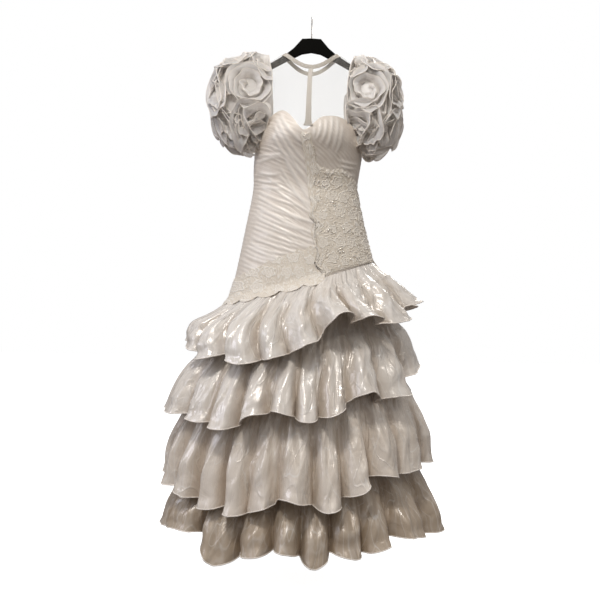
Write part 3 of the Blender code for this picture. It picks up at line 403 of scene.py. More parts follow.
def share_at(surface, bearings, heights):
    """Where on each bearing of a surface its height is the one wanted."""
    tries = np.linspace(0, 1, 241)
    found = [surface(0 * tries + b, tries)[:, 2] for b in bearings]
    return np.array([np.interp(z, line[::-1], tries[::-1]) for z, line in zip(heights, found)])


def underskirt(bearing, share):
    top = waist_z(bearing) - SEAM_GAP - 0.9
    return ring_point(UNDERSKIRT_RINGS, bearing, top + (UNDERSKIRT_END_Z - top) * share)


def fold_at(tier, bearing):
    """(wave from -1 to 1, sideways shift in degrees) of the cloth at a bearing."""
    folds = sorted(tier["folds"])
    crests = np.array([f[0] for f in folds] + [folds[0][0] + 360], float)
    sizes = np.array([f[1] for f in folds] + [folds[0][1]])
    around = (np.asarray(bearing, float) - crests[0]) % 360 + crests[0]
    k = np.clip(np.searchsorted(crests, around, side="right") - 1, 0, len(folds) - 1)
    span = crests[k + 1] - crests[k]
    phase = (around - crests[k]) / span
    blend = phase * phase * (3 - 2 * phase)
    size = sizes[k] + (sizes[k + 1] - sizes[k]) * blend
    wave = np.cos(2 * np.pi * phase)
    return size * wave, CREST_WIDTH * span * np.sin(2 * np.pi * phase)


def hem_at(tier, bearing):
    rows = sorted(tier["hem"])
    rows = rows[-2:] + rows + rows[:2]
    turns = [-360] * 2 + [0] * (len(rows) - 4) + [360] * 2
    known = [row[0] + turn for row, turn in zip(rows, turns)]
    return smooth((bearing + 180) % 360 - 180, known, [row[1] for row in rows])


def sleeve_point(side, place, station):
    """The outside of the sleeve's base: place is the angle round the tube, 0 on its long side."""
    place, station = np.broadcast_arrays(np.asarray(place, float), np.asarray(station, float))
    long_x, long_z, short_x, short_z, half_depth = (
        smooth(station, SLEEVE_SECTIONS[:, 0], SLEEVE_SECTIONS[:, k]) for k in range(1, 6)
    )
    turn = np.radians(place)
    share = (1 - np.cos(turn)) / 2
    x = long_x + (short_x - long_x) * share
    y = half_depth * np.sin(turn)
    z = long_z + (short_z - long_z) * share
    half_width, front, back = (smooth(z, BODICE_RINGS[:, 0], BODICE_RINGS[:, k]) for k in (2, 3, 4))
    depth = np.where(y < 0, front + CUP_BULGE, back)
    bodice_x = half_width * np.sqrt(np.maximum(1 - (y / depth) ** 2, 0)) + SLEEVE_OFF_BODICE
    spread = 1 + (SLEEVE_SPREAD[side] - 1) * (1 - 0.6 * station**3)
    x = SLEEVE_START_X + (x - SLEEVE_START_X) * spread
    x = x - ARMHOLE_REACH * np.sin(turn) ** 2 * np.clip(1 - station / 0.35, 0, 1)
    z = z + SLEEVE_RAISE[side] * station * (1 - share)
    x = np.where(z < -290, np.maximum(x, bodice_x), x)
    return np.stack([side * x, y, z], -1)


def arm_hole_edge(side, place, inward):
    """The sleeve's first ring, moved towards the middle of the body."""
    points = sleeve_point(side, place, 0 * place)
    return points - np.array([side * inward, 0, 0])


def band_frame(bearing):
    """The neck band's line, the way across its tape and its outward side. It lies on the arms."""
    turn = np.radians(bearing)

    def line_at(turn):
        x, y = BAND_HALF_WIDTH * np.sin(turn), -BAND_HALF_DEPTH * np.cos(turn)
        return np.stack([x, y, BAND_TOP_Z - BAND_DROP * np.abs(np.cos(turn)) ** BAND_ARCH], -1)

    slope = math.radians(ARM_SLOPE_DEG)
    lying = np.stack([-np.sign(np.sin(turn)) * math.cos(slope), 0 * turn,
                      0 * turn + math.sin(slope)], -1)
    flat = (np.sin(turn) ** 4)[:, None]
    width = unit(lying * flat + np.array([0.0, 0, 1]) * (1 - flat))
    along = unit(line_at(turn + 0.01) - line_at(turn - 0.01))
    width = unit(width - along * (width * along).sum(-1, keepdims=True))
    return line_at(turn), width, np.cross(-width, along)


def along_line(points, at):
    """Points at shares of the length of a line."""
    steps = np.linalg.norm(np.diff(points, axis=0), axis=1)
    known = np.concatenate([[0], np.cumsum(steps)]) / steps.sum()
    return np.stack([np.interp(at, known, points[:, k]) for k in range(3)], -1)


def yoke_edges(front):
    """The four edge lines of the front or back yoke: top, lower edge, first and last side."""
    way = 1 if front else -1
    turns = np.linspace(-90, 90, 33)
    line, width, _ = band_frame(turns if front else turns + 180)
    top = line - width * (BAND_TAPE / 2 + YOKE_OFF_BAND)
    top[:, 2] += YOKE_OVER_ARM * np.abs(np.sin(np.radians(turns))) ** 8
    sides = []
    for side in (-way, way):
        place = np.linspace(4, 112 if front else 140, 24)
        ring = arm_hole_edge(side, -place if front else place, YOKE_OFF_SLEEVE)
        ring[:, 2] += YOKE_OVER_ARM * np.clip(1 - place / 24, 0, 1)
        bearing = side * (54 if front else 110)
        corner = neck_edge(np.array([bearing], float), front)[0]
        pull = np.linspace(0, 1, len(ring))[:, None] ** 3
        sides.append(ring + (corner - ring[-1]) * pull)
    top = np.concatenate([sides[0][:1], top, sides[1][:1]])
    span = np.linspace(-54, 54, 33) if front else np.linspace(110, 250, 33)
    return top, neck_edge(span, front), sides[0], sides[1]


def neck_edge(bearing, front):
    """Just above the bodice's upper edge, in the middle of its wall."""
    surface = bodice_front if front else bodice_back
    bearing = bearing % 360 if not front else bearing
    points, outward = grid(surface, bearing, [0.0])
    return points[0] - outward[0] * BODICE_THICK / 2 + np.array([0, 0, YOKE_OFF_BODICE])


def yoke_point(front, u, v):
    """A sheet stretched between its four edge lines."""
    top, low, first, last = yoke_edges(front)
    shape = np.broadcast(u, v).shape
    u, v = (np.broadcast_to(a, shape)[..., None] for a in (u, v))
    top_at, low_at = along_line(top, u[..., 0]), along_line(low, u[..., 0])
    first_at, last_at = along_line(first, v[..., 0]), along_line(last, v[..., 0])
    corners = ((1 - u) * (1 - v) * top[0] + u * (1 - v) * top[-1]
               + (1 - u) * v * low[0] + u * v * low[-1])
    return (1 - v) * top_at + v * low_at + (1 - u) * first_at + u * last_at - corners


def normals(surface, u, v, du=0.5, dv=0.01):
    """Outward normals of a surface whose u runs to +X at the front and v runs down."""
    across = surface(u + du, v) - surface(u - du, v)
    down = surface(u, np.minimum(v + dv, 1)) - surface(u, np.maximum(v - dv, 0))
    return unit(np.cross(down, across))


def grid(surface, u, v):
    """(points, normals) of a surface at each row of v and column of u."""
    v = v if np.ndim(v) == 2 else np.asarray(v, float)[:, None] + 0 * np.asarray(u, float)
    u = np.asarray(u, float) + 0 * v
    return surface(u, v), normals(surface, u, v)


def ripple(turn, drift, counts, seed):
    """A wander from -1 to 1 round a ring: each count is a whole number of waves."""
    total = 0
    for k, count in enumerate(counts):
        total = total + np.sin(count * turn + drift * (1.3 + 0.7 * k) + seed * (2.1 + k))
    return total / len(counts)


def wander(a, b, seed):
    """A smooth wander from -1 to 1 over two measures in the wander's own lengths."""
    total = 0
    for k in range(5):
        way = seed + 2.4 * k
        reach = 1 + 0.43 * k
        total = total + np.sin((a * math.cos(way) + b * math.sin(way)) * reach + 5.1 * way)
    return total / 3.2


def ease(x, start, end):
    t = np.clip((x - start) / (end - start), 0, 1)
    return t * t * (3 - 2 * t)


def finer_folds(name, bearing, share):
    """Height of a flounce's finer folds: the front as placed, the back alike but smaller."""
    total = 0 * bearing * share
    front = FINER_FOLDS[name]
    back = [(180 - 1.03 * b, first, last, half, 0.8 * size, -drift)
            for b, first, last, half, size, drift in front]
    for b, first, last, half, size, drift in front + back:
        along = ease(share, first, first + 0.28) * (1 - ease(share, last - 0.22, last))
        aside = (bearing - b - drift * share + 180) % 360 - 180
        total = total + size * along * np.exp(-(aside / half) ** 2)
    return total


def flounce_point(name, bearing, share):
    """A flounce's cloth, as the solid has it, with its finer folds, gathers and flared hem."""
    tier, sizes_of = TIERS[name], bpy.context.scene.dress_sizes
    bearing, share = np.broadcast_arrays(np.asarray(bearing, float), np.asarray(share, float))
    seed = int(name[-1])
    turn = np.radians(bearing)
    unlike = (0.6 if name == "flounce_4" else 2.4) * ripple(turn, 0, (4, 6, 9), seed + 4)
    wave, shift = fold_at(tier, bearing + unlike)
    hem_z = sum(hem_at(tier, bearing + aside) for aside in (-4, -2, 0, 2, 4)) / 5
    panel = 0.5 + 0.5 * ripple(turn, 0, (3, 5, 7), seed + 1)
    broad = panel * np.tanh(1.9 * wave) / 0.95 + (1 - panel) * (wave - 0.22 * (wave**2 * 2 - 1))
    seam_z = tier["seam_z"] + tier["rise"] * tier["seam_half"] * np.sin(turn)
    length = seam_z - hem_z
    table = np.array(tier["rings"], float)
    known = np.concatenate([[0.0], table[:, 0]])
    fade = np.clip(1 - share / table[0, 0], 0, 1)
    height = smooth(share, known, np.concatenate([[0.0], table[:, 5]]))
    uneven = 0.86 + 0.30 * ripple(turn, 1.5 * share, (3, 5, 8), seed)
    sides = 1 - 0.8 * np.exp(-((np.abs((bearing + 180) % 360 - 180) - 90) / 15) ** 2)
    out = broad * height * sizes_of.fold_depth * uneven * sides
    finer = finer_folds(name, bearing, share) * 1.5 * sizes_of.finer_folds
    out = out + np.maximum(finer, -7.5) * sides
    valley = ripple(turn, 2.5 * share, (17, 23, 31, 43), seed)
    out = out + 3.4 * np.exp(-(valley / 0.16) ** 2) * ease(share, 0.02, 0.25) * sides
    down = share * length
    gathers = ripple(turn, 0.02 * down, (89, 107, 131, 157), seed)
    out = out + GATHERS[name] * gathers * np.exp(-down / 42) * ease(down, -3, 6)
    dents = ripple(turn, 5 * share, (13, 19, 29, 37), seed + 3) * ripple(turn, -7 * share, (7, 17), 1)
    out = out + 6.5 * dents * ease(share, 0.15, 0.6) * sides
    crests = ripple(turn, 1.1 * share, (24, 33, 41, 50), seed + 6)
    out = out + 2.6 * np.exp(-(crests / 0.13) ** 2) * ease(share, 0.04, 0.3) * sides
    hem = np.exp(-(length - down) / 9)
    out = out + 0.7 * hem * ripple(turn, 0.4, (71, 113, 149), seed) * sides
    out = out + 4.0 * ease(share, 0.9, 1.0) * (0.5 + wave) * sides
    sizes = []
    for k in (1, 2, 3):
        start = smooth(seam_z, UNDERSKIRT_RINGS[:, 0], UNDERSKIRT_RINGS[:, k + 1])
        start = start + LAY_GAP + SATIN_THICK / 2
        held = smooth(share, known, np.concatenate([[table[0, k + 1]], table[:, k + 1]]))
        sizes.append(held + (start - table[0, k + 1]) * fade + out)
    seam_x = smooth(seam_z, UNDERSKIRT_RINGS[:, 0], UNDERSKIRT_RINGS[:, 1])
    centre = seam_x * fade + smooth(share, known, np.concatenate([[0.0], table[:, 1]]))
    lean = 0.9 * ripple(turn, 0, (19, 27), seed) * np.maximum(wave, 0) * share**2
    turned = bearing + (shift + 2 * lean) * smooth(share, [0, 0.3, 1], [0, 0.2, 1])
    x, y = on_oval(turned, *sizes, centre)
    lifts = HEM_LIFT[name]
    lift = np.interp((bearing + 180) % 360 - 180, [row[0] for row in lifts],
                     [row[1] for row in lifts])
    z = seam_z + (hem_z - seam_z) * share + lift * wave * share**5
    return np.stack([x, y, z], -1)


def ruche_height(x, z):
    """Height of the ruched pleats of the front panel."""
    sizes_of = bpy.context.scene.dress_sizes
    slope = 62 * ((x + 150) / 200) + 52 * np.maximum((x + 150) / 200, 0) ** 2
    phase = (z + slope) / FINE_RUCHE_STEP + 0.75 * wander(x / 46, z / 26, 1.3)
    broad = (0.5 + 0.5 * np.cos(np.pi * phase)) ** 1.6
    fine = (0.5 + 0.5 * np.cos(2.3 * np.pi * phase + 2 * wander(x / 40, z / 30, 2.2))) ** 1.3
    total = FINE_RUCHE_DEPTH * (1.3 * broad * (0.7 + 0.6 * wander(x / 24, z / 15, 4.7))
                                + 0.6 * fine)
    for x0, z0, x1, z1, sag, half, height in RUCHES:
        run = np.array([x1 - x0, z1 - z0], float)
        length = np.hypot(*run)
        run /= length
        along = (x - x0) * run[0] + (z - z0) * run[1]
        t = np.clip(along / length, 0, 1)
        aside = (z - z0) * run[0] - (x - x0) * run[1] + 4 * sag * t * (1 - t)
        ends = ease(along, -6, 16) * (1 - ease(along, length - 22, length + 6))
        shape = ends * np.exp(-(aside / half) ** 2)
        total = total * (1 - 0.5 * shape) + height * 0.85 * shape
    return total * sizes_of.pleat_depth


def cord_relief(x, z):
    """Height of the lace: flowers of corded petals on a ground of winding cord, from 0 to 1."""
    step = 44.0
    row = np.floor(z / step)
    best = np.full(np.shape(x), 1e9)
    petals = np.zeros(np.shape(x))
    for drow in (-1, 0, 1):
        for dcol in (-1, 0, 1):
            r = row + drow
            c = np.floor(x / step + 0.5 * (r % 2)) + dcol
            jitter = np.sin(r * 12.9898 + c * 78.233) * 43758.5453
            jitter = jitter - np.floor(jitter)
            other = np.sin(r * 39.425 + c * 17.31) * 24634.634
            other = other - np.floor(other)
            cx = (c + 0.5 - 0.5 * (r % 2) + 0.34 * (jitter - 0.5)) * step
            cz = (r + 0.5 + 0.34 * (other - 0.5)) * step
            dx, dz = x - cx, z - cz
            reach = np.hypot(dx, dz)
            angle = np.arctan2(dz, dx) + 6.28 * jitter
            size = 12 + 6 * other
            edge = size * (0.60 + 0.40 * np.abs(np.cos(2.5 * angle)) ** 0.6)
            outline = np.exp(-((reach - edge) / 1.5) ** 2)
            inner = np.exp(-((reach - 0.55 * edge) / 1.3) ** 2) * 0.8
            heart = np.exp(-(reach / 2.6) ** 2)
            fill = 0.30 * (1 - ease(reach, edge - 1, edge + 1))
            flower = np.maximum(np.maximum(outline, inner), np.maximum(heart, fill))
            petals = np.where(reach < best, np.where(reach < 1.12 * size, flower, 0), petals)
            best = np.minimum(best, np.where(reach < 1.12 * size, 0, reach))
    winding = wander(x / 9.5, z / 9.5, 0.7) + 0.5 * wander(x / 6, z / 6, 2.9)
    cord = np.exp(-(np.sin(4.2 * winding) / 0.5) ** 2)
    return np.maximum(petals, 0.75 * cord * (best > 0))


def zip_edges(first, second):
    """Triangles between two lines of point numbers that start and end side by side."""
    i, j, faces = 0, 0, []
    last_i, last_j = len(first) - 1, len(second) - 1
    while i < last_i or j < last_j:
        if j == last_j or (i < last_i and (i + 1) / last_i <= (j + 1) / last_j):
            faces.append((first[i], first[i + 1], second[j]))
            i += 1
        else:
            faces.append((first[i], second[j + 1], second[j]))
            j += 1
    return faces


def lengths(points, axis, around=False):
    """Mean run of a grid along its rows (axis 1) or down its columns (axis 0), in metres."""
    if around:
        points = np.concatenate([points, points[:, :1]], 1)
    steps = np.linalg.norm(np.diff(points, axis=axis), axis=-1).mean(1 - axis)
    return np.concatenate([[0], np.cumsum(steps)]) * MM


def cloth(name, outer, inner, finish, around=False, measures=None):
    """A closed thin shell between two grids of points. Its UV map is in metres over the cloth, and
    measures are values for each outer point, kept as attributes."""
    rows, columns = outer.shape[:2]
    inner_rows, inner_columns = inner.shape[:2]
    start = rows * columns
    points = np.concatenate([outer.reshape(-1, 3), inner.reshape(-1, 3)]) * MM
    across, down = lengths(outer, 1, around), lengths(outer, 0)
    across_in = np.linspace(0, across[-1], inner_columns + around)
    down_in = np.linspace(0, down[-1], inner_rows)

    def patch(count_rows, count_columns, base, flip, u, v):
        last = count_columns if around else count_columns - 1
        i, j = (a.ravel() for a in np.indices((count_rows - 1, last)))
        corners = [(i, j), (i + 1, j), (i + 1, j + 1), (i, j + 1)]
        if flip:
            corners = [corners[0], corners[3], corners[2], corners[1]]
        numbers = np.stack([base + a * count_columns + b % count_columns for a, b in corners], 1)
        places = np.stack([np.stack([u[b], v[a]], -1) for a, b in corners], 1)
        return numbers, places

    quads, places = patch(rows, columns, 0, False, across, down)
    quads_in, places_in = patch(inner_rows, inner_columns, start, True, across_in, down_in)

    def line(count_rows, count_columns, base, side):
        last = count_columns if around else count_columns - 1
        if side in ("top", "end"):
            i = 0 if side == "top" else count_rows - 1
            return [base + i * count_columns + j % count_columns for j in range(last + 1)]
        j = 0 if side == "first" else last
        return [base + i * count_columns + j for i in range(count_rows)]

    rims = []
    for side in ("top", "end") if around else ("top", "end", "first", "last"):
        outer_line = line(rows, columns, 0, side)
        inner_line = line(inner_rows, inner_columns, start, side)
        found = zip_edges(outer_line, inner_line)
        flip = side in ("end", "first")
        rims += [f[::-1] if flip else f for f in found]
    rim_faces = np.array(rims)
    flat_uv = np.concatenate([
        np.stack(np.meshgrid(across[:columns], down), -1).reshape(-1, 2),
        np.stack(np.meshgrid(across_in[:inner_columns], down_in), -1).reshape(-1, 2),
    ])
    mesh = bpy.data.meshes.new(name)
    faces = quads.tolist() + quads_in.tolist() + rim_faces.tolist()
    mesh.from_pydata(points.tolist(), [], faces)
    loops_uv = np.concatenate([places.reshape(-1, 2), places_in.reshape(-1, 2),
                               flat_uv[rim_faces.ravel()]])
    layer = mesh.uv_layers.new(name="cloth")
    layer.data.foreach_set("uv", loops_uv.astype(np.float32).ravel())
    for key, values in (measures or {}).items():
        grown = np.concatenate([np.broadcast_to(values, (rows, columns)).ravel(),
                                np.zeros(inner_rows * inner_columns)])
        if inner.shape == outer.shape:
            grown[start:] = grown[:start]
        attribute = mesh.attributes.new(key, "FLOAT", "POINT")
        attribute.data.foreach_set("value", grown.astype(np.float32))
    return finished(name, mesh, finish)


def finished(name, mesh, finish, smooth_deg=55):
    """A piece at the origin with its finish and rounded shading."""
    mesh.name = name
    mesh.shade_smooth()
    mesh.set_sharp_from_angle(angle=math.radians(smooth_deg))
    mesh.materials.clear()
    mesh.materials.append(finish)
    made = bpy.data.objects.new(name, mesh)
    bpy.context.scene.collection.objects.link(made)
    return made


def shell(name, points, outward, thick, finish, inset=0.0, around=False, measures=None):
    """A wall of even thickness on a grid of points and its outward directions."""
    outer, inner = points + outward * (inset + thick), points + outward * inset
    return cloth(name, outer, inner, finish, around, measures)


def facing_out(points, outward, centre):
    """The outward directions, turned round where the whole grid faces its centre."""
    return -outward if ((points - centre) * outward).sum() < 0 else outward


def recalculated(mesh):
    """Turns a closed mesh's faces outward."""
    work = bmesh.new()
    work.from_mesh(mesh)
    bmesh.ops.recalc_face_normals(work, faces=work.faces)
    if work.calc_volume(signed=True) < 0:
        bmesh.ops.reverse_faces(work, faces=work.faces)
    work.to_mesh(mesh)
    work.free()


def attach(piece, slot, *nodes):
    """Hangs a piece on the body's root and hides the solids it stands for; its slot is not used."""
    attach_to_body(piece, "root")
    if nodes:
        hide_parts(*nodes)
    return piece


class Field:
    """A value in a shader tree that can stand in sums and products."""

    def __init__(self, finish, socket):
        self.finish = finish
        self.socket = socket

    def _maths(self, operation, other, flipped=False):
        first, second = (other, self) if flipped else (self, other)
        return self.finish.made("ShaderNodeMath", {"operation": operation}, {0: first, 1: second})

    def __add__(self, other):
        return self._maths("ADD", other)

    def __radd__(self, other):
        return self._maths("ADD", other, True)

    def __sub__(self, other):
        return self._maths("SUBTRACT", other)

    def __rsub__(self, other):
        return self._maths("SUBTRACT", other, True)

    def __mul__(self, other):
        return self._maths("MULTIPLY", other)

    def __rmul__(self, other):
        return self._maths("MULTIPLY", other, True)

    def __pow__(self, other):
        return self._maths("POWER", other)

    def __truediv__(self, other):
        return self._maths("DIVIDE", other)

    def near(self, centre, width):
        """1 where the value is at a centre, falling to 0 at a width away from it."""
        away = self.finish.made("ShaderNodeMath", {"operation": "ABSOLUTE"}, {0: self - centre})
        return away.clamped(0, width, 1.0, 0.0)

    def clamped(self, low, high, new_low=0.0, new_high=1.0):
        return self.finish.made("ShaderNodeMapRange", {"clamp": True}, {
            "Value": self, "From Min": low, "From Max": high, "To Min": new_low, "To Max": new_high,
        })


class Finish:
    """A procedural material built from named pieces of cloth or metal."""

    def __init__(self, name):
        self.material = bpy.data.materials.new(name)
        self.material.use_nodes = True
        self.tree = self.material.node_tree
        self.shader = self.tree.nodes["Principled BSDF"]

    def node(self, kind, settings=None, values=None):
        made = self.tree.nodes.new(kind)
        for key, value in (settings or {}).items():
            setattr(made, key, value)
        for key, value in (values or {}).items():
            self.put(made.inputs[key], value)
        return made

    def made(self, kind, settings=None, values=None, output=0):
        return Field(self, self.node(kind, settings, values).outputs[output])

    def put(self, socket, value):
        if isinstance(value, Field):
            self.tree.links.new(value.socket, socket)
        elif hasattr(value, "__len__") and len(value) == 3 and socket.type == "RGBA":
            socket.default_value = (*value, 1)
        else:
            socket.default_value = value

    def shade(self, **values):
        for key, value in values.items():
            self.put(self.shader.inputs[key.replace("_", " ")], value)
        return self

    def place(self, over="Object", stretch=(1, 1, 1), turn=0.0):
        """Coordinates in metres: Object, or UV for what follows the cloth."""
        where = self.made("ShaderNodeTexCoord", output=over)
        return self.made("ShaderNodeMapping", {}, {
            "Vector": where, "Scale": stretch, "Rotation": (0, 0, turn),
        })

    def noise(self, place, scale, detail=3.0, roughness=0.55, distortion=0.0):
        return self.made("ShaderNodeTexNoise", {}, {
            "Vector": place, "Scale": scale, "Detail": detail, "Roughness": roughness,
            "Distortion": distortion,
        })

    def wave(self, place, scale, distortion=0.0, direction="X"):
        return self.made("ShaderNodeTexWave", {"bands_direction": direction}, {
            "Vector": place, "Scale": scale, "Distortion": distortion, "Detail": 2.0,
        })

    def cells(self, place, scale, feature="F1"):
        return self.made("ShaderNodeTexVoronoi", {"feature": feature}, {
            "Vector": place, "Scale": scale,
        })

    def attribute(self, name):
        return self.made("ShaderNodeAttribute", {"attribute_name": name}, output="Fac")

    def mix(self, factor, first, second):
        node = self.node("ShaderNodeMix", {"data_type": "RGBA"})
        self.put(node.inputs["Factor"], factor)
        self.put(node.inputs[6], first)
        self.put(node.inputs[7], second)
        return Field(self, node.outputs[2])

    def bump(self, *layers):
        """Normal from (height, distance in metres) layers, each on the one before."""
        normal = None
        for height, distance in layers:
            values = {"Height": height, "Distance": distance, "Strength": 1.0}
            if normal is not None:
                values["Normal"] = normal
            normal = self.made("ShaderNodeBump", {}, values)
        self.put(self.shader.inputs["Normal"], normal)
        return self


def tinted(colour, factor):
    return tuple(min(1.0, c * f) for c, f in zip(colour, factor))


def satin(name, painted_shade_warmth=0.0, liquid=1.0, bright=1.0):
    """Liquid satin: a tight float weave, with soft dents and creases that run with the cloth."""
    colour = tuple(bpy.context.scene.dress_colours.satin)
    # Painted light and shade: the warmth darkens and warms the colour, blue most, and the brightness
    # scales it, giving lighter copies of the satin for lit pieces and darker, warmer copies for shaded
    # ones.
    colour = tinted(colour, [bright * (1 - fall * painted_shade_warmth**2) for fall in (0.06, 0.19, 0.34)])
    made = Finish(name)
    over = made.place("UV")
    long_way = made.place("UV", (1, 0.34, 1))
    slub = made.noise(made.place("UV", (1, 0.12, 1)), 90, 4, 0.6, 0.6)
    broad = made.noise(long_way, 13, 2.5, 0.5, 0.9)
    small = made.noise(over, 24, 3, 0.55, 0.7)
    crease = made.noise(long_way, 17, 1.5, 0.4, 1.6).near(0.5, 0.035)
    outline = broad.near(0.55, 0.03)
    fold = made.noise(made.place("UV", (1, 0.26, 1)), 21, 0.7, 0.4, 1.0)
    ridge = fold.near(0.5, 0.014)
    base_colour = made.mix(small.clamped(0.3, 0.7), tinted(colour, (0.93, 0.92, 0.905)), colour)
    # Painted shade: where the attribute read here is high, the colour darkens towards a warm brown, in
    # the cloth's troughs and hollows.
    depth = made.attribute("painted_shade")
    base_colour = made.mix(depth.clamped(0.05, 1.0, 0.0, 0.75), base_colour, tinted(colour, (0.66, 0.585, 0.505)))
    # Painted shade: the colour darkens in the low ground of the fold noise beside each bumped crease
    # line.
    base_colour = made.mix(fold.clamped(0.36, 0.49, 0.45 * liquid, 0.0), base_colour,
                   tinted(colour, (0.80, 0.755, 0.70)))
    # Painted highlight: thin lines along the creases, the broad noise's outlines and the fold ridges turn
    # near white, less so in the painted shade of the troughs.
    painted_highlight = crease * 0.18 + outline * 0.14 + ridge * (0.5 * liquid)
    base_colour = made.mix(painted_highlight * (1 - depth * 0.5), base_colour, (0.93, 0.91, 0.88))
    weave = made.wave(over, 900, 1.5, "Y")
    made.shade(Base_Color=base_colour, Metallic=0.06)
    made.shade(Roughness=slub.clamped(0.3, 0.75, 0.42 - 0.24 * liquid, 0.58 - 0.26 * liquid))
    made.shade(Sheen_Weight=0.12, Sheen_Roughness=0.35, Coat_Roughness=0.14)
    made.shade(Coat_Weight=0.04 + 0.46 * liquid)
    made.shade(Sheen_Tint=(1.0, 0.97, 0.92, 1.0))
    made.bump((broad, 0.012 * liquid), (small, 0.003 * liquid), (crease, 0.0008 * liquid),
              (fold, 0.006 * liquid),
              (slub, 0.0004 * liquid), (weave, 0.00002))
    return made.material


def organza(name):
    """Crisp sheer organza, doubled: fine grid weave with a pale sheen."""
    colour = tuple(bpy.context.scene.dress_colours.organza)
    made = Finish(name)
    streak = made.noise(made.place("UV", (1, 0.25, 1)), 75, 4, 0.6, 0.8)
    broad = made.noise(made.place("Object"), 16, 3, 0.5)
    base_colour = made.mix(broad.clamped(0.3, 0.7), tinted(colour, (0.93, 0.92, 0.91)), colour)
    # Painted shade: the colour darkens towards grey beige where the attribute read here is high, on the
    # sleeve's base and towards the ruffles' roots.
    depth = made.attribute("painted_shade")
    base_colour = made.mix(depth.clamped(0.0, 1.0, 0.0, 0.5), base_colour, tinted(colour, (0.82, 0.785, 0.74)))
    weave = made.wave(made.place("UV"), 800, 0.3, "X") + made.wave(made.place("UV"), 800, 0.3, "Y")
    made.shade(Base_Color=base_colour, Roughness=streak.clamped(0.3, 0.7, 0.30, 0.46))
    made.shade(Sheen_Weight=0.35, Sheen_Roughness=0.3, Coat_Weight=0.2, Coat_Roughness=0.25)
    made.shade(Subsurface_Weight=0.6, Subsurface_Scale=0.015, Subsurface_Radius=(1.0, 0.95, 0.9))
    made.bump((broad, 0.006), (streak, 0.0012), (weave, 0.00002))
    return made.material


def lace(name, bright=1.0):
    """Corded lace: twisted thread over fine net."""
    colour = tinted(tuple(bpy.context.scene.dress_colours.lace), [bright] * 3)
    made = Finish(name)
    cord = made.attribute("cord")
    thread = made.wave(made.place("Object", (1, 1, 1), 0.6), 420, 6.0, "DIAGONAL")
    soil = made.noise(made.place("Object"), 26, 4, 0.6)
    ground = made.mix(soil.clamped(0.3, 0.7), tinted(colour, (0.80, 0.755, 0.695)),
                      tinted(colour, (0.90, 0.865, 0.81)))
    base_colour = made.mix(cord.clamped(0.15, 0.75), ground, colour)
    made.shade(Base_Color=base_colour, Roughness=cord.clamped(0, 1, 0.75, 0.5))
    made.shade(Sheen_Weight=0.3, Sheen_Roughness=0.5)
    made.bump((thread, 0.00012), (made.noise(made.place("Object"), 900, 2), 0.0002))
    return made.material


def net(name):
    """Sheer illusion net: a fine mesh that is mostly holes."""
    colour = tuple(bpy.context.scene.dress_colours.net)
    made = Finish(name)
    across = made.wave(made.place("UV", (1, 1, 1), 0.785), 330, 0.2, "X")
    along = made.wave(made.place("UV", (1, 1, 1), 0.785), 330, 0.2, "Y")
    threads = made.made("ShaderNodeMath", {"operation": "MAXIMUM"}, {0: across, 1: along})
    made.shade(Base_Color=made.mix(made.noise(made.place("Object"), 30).clamped(0.3, 0.7),
                                   tinted(colour, (0.95, 0.94, 0.92)), colour))
    made.shade(Roughness=0.6, Alpha=threads.clamped(0.72, 0.98, 0.015, 0.13))
    made.shade(Sheen_Weight=0.2)
    return made.material


def black_plastic(name):
    """Moulded black plastic, rubbed along its arms."""
    colour = tuple(bpy.context.scene.dress_colours.plastic)
    made = Finish(name)
    grain = made.noise(made.place("Object"), 900, 4, 0.6)
    rub = made.noise(made.place("Object", (0.3, 1, 1), 0.5), 120, 5, 0.65)
    made.shade(Base_Color=made.mix(rub.clamped(0.45, 0.8), colour, tinted(colour, (1.8, 1.8, 1.7))))
    made.shade(Roughness=rub.clamped(0.3, 0.75, 0.42, 0.6), Specular_IOR_Level=0.05)
    made.bump((grain, 0.00006), (rub, 0.0001))
    return made.material


def steel_wire(name):
    """Drawn and bent steel wire, a little dulled."""
    colour = tuple(bpy.context.scene.dress_colours.steel)
    made = Finish(name)
    drawn = made.noise(made.place("Object", (1, 1, 0.08)), 900, 3, 0.6)
    dull = made.noise(made.place("Object"), 90, 4, 0.6)
    made.shade(Base_Color=made.mix(dull.clamped(0.4, 0.75), colour, tinted(colour, (0.7, 0.66, 0.6))))
    made.shade(Metallic=1.0, Roughness=dull.clamped(0.3, 0.8, 0.24, 0.46))
    made.bump((drawn, 0.00005))
    return made.material


def glass_bead(name, factor=(1, 1, 1), rough=0.08):
    """Small lined glass and pearl."""
    colour = tinted(tuple(bpy.context.scene.dress_colours.bead), factor)
    made = Finish(name)
    cloud = made.noise(made.place("Object"), 500, 2)
    made.shade(Base_Color=made.mix(cloud.clamped(0.35, 0.65), tinted(colour, (0.9, 0.88, 0.85)), colour))
    made.shade(Roughness=cloud.clamped(0.3, 0.7, rough, rough + 0.08), Metallic=0.25)
    made.shade(Coat_Weight=0.8, Coat_Roughness=0.05, Specular_IOR_Level=0.8)
    return made.material


def geometry_tree(name, inputs):
    """An empty node tree with a geometry input, named inputs and a geometry output."""
    made = bpy.data.node_groups.new(name, "GeometryNodeTree")
    made.interface.new_socket("Geometry", in_out="INPUT", socket_type="NodeSocketGeometry")
    for label, kind, default in inputs:
        socket = made.interface.new_socket(label, in_out="INPUT", socket_type=kind)
        if default is not None:
            socket.default_value = default
    made.interface.new_socket("Geometry", in_out="OUTPUT", socket_type="NodeSocketGeometry")
    return made, made.nodes.new("NodeGroupInput"), made.nodes.new("NodeGroupOutput")


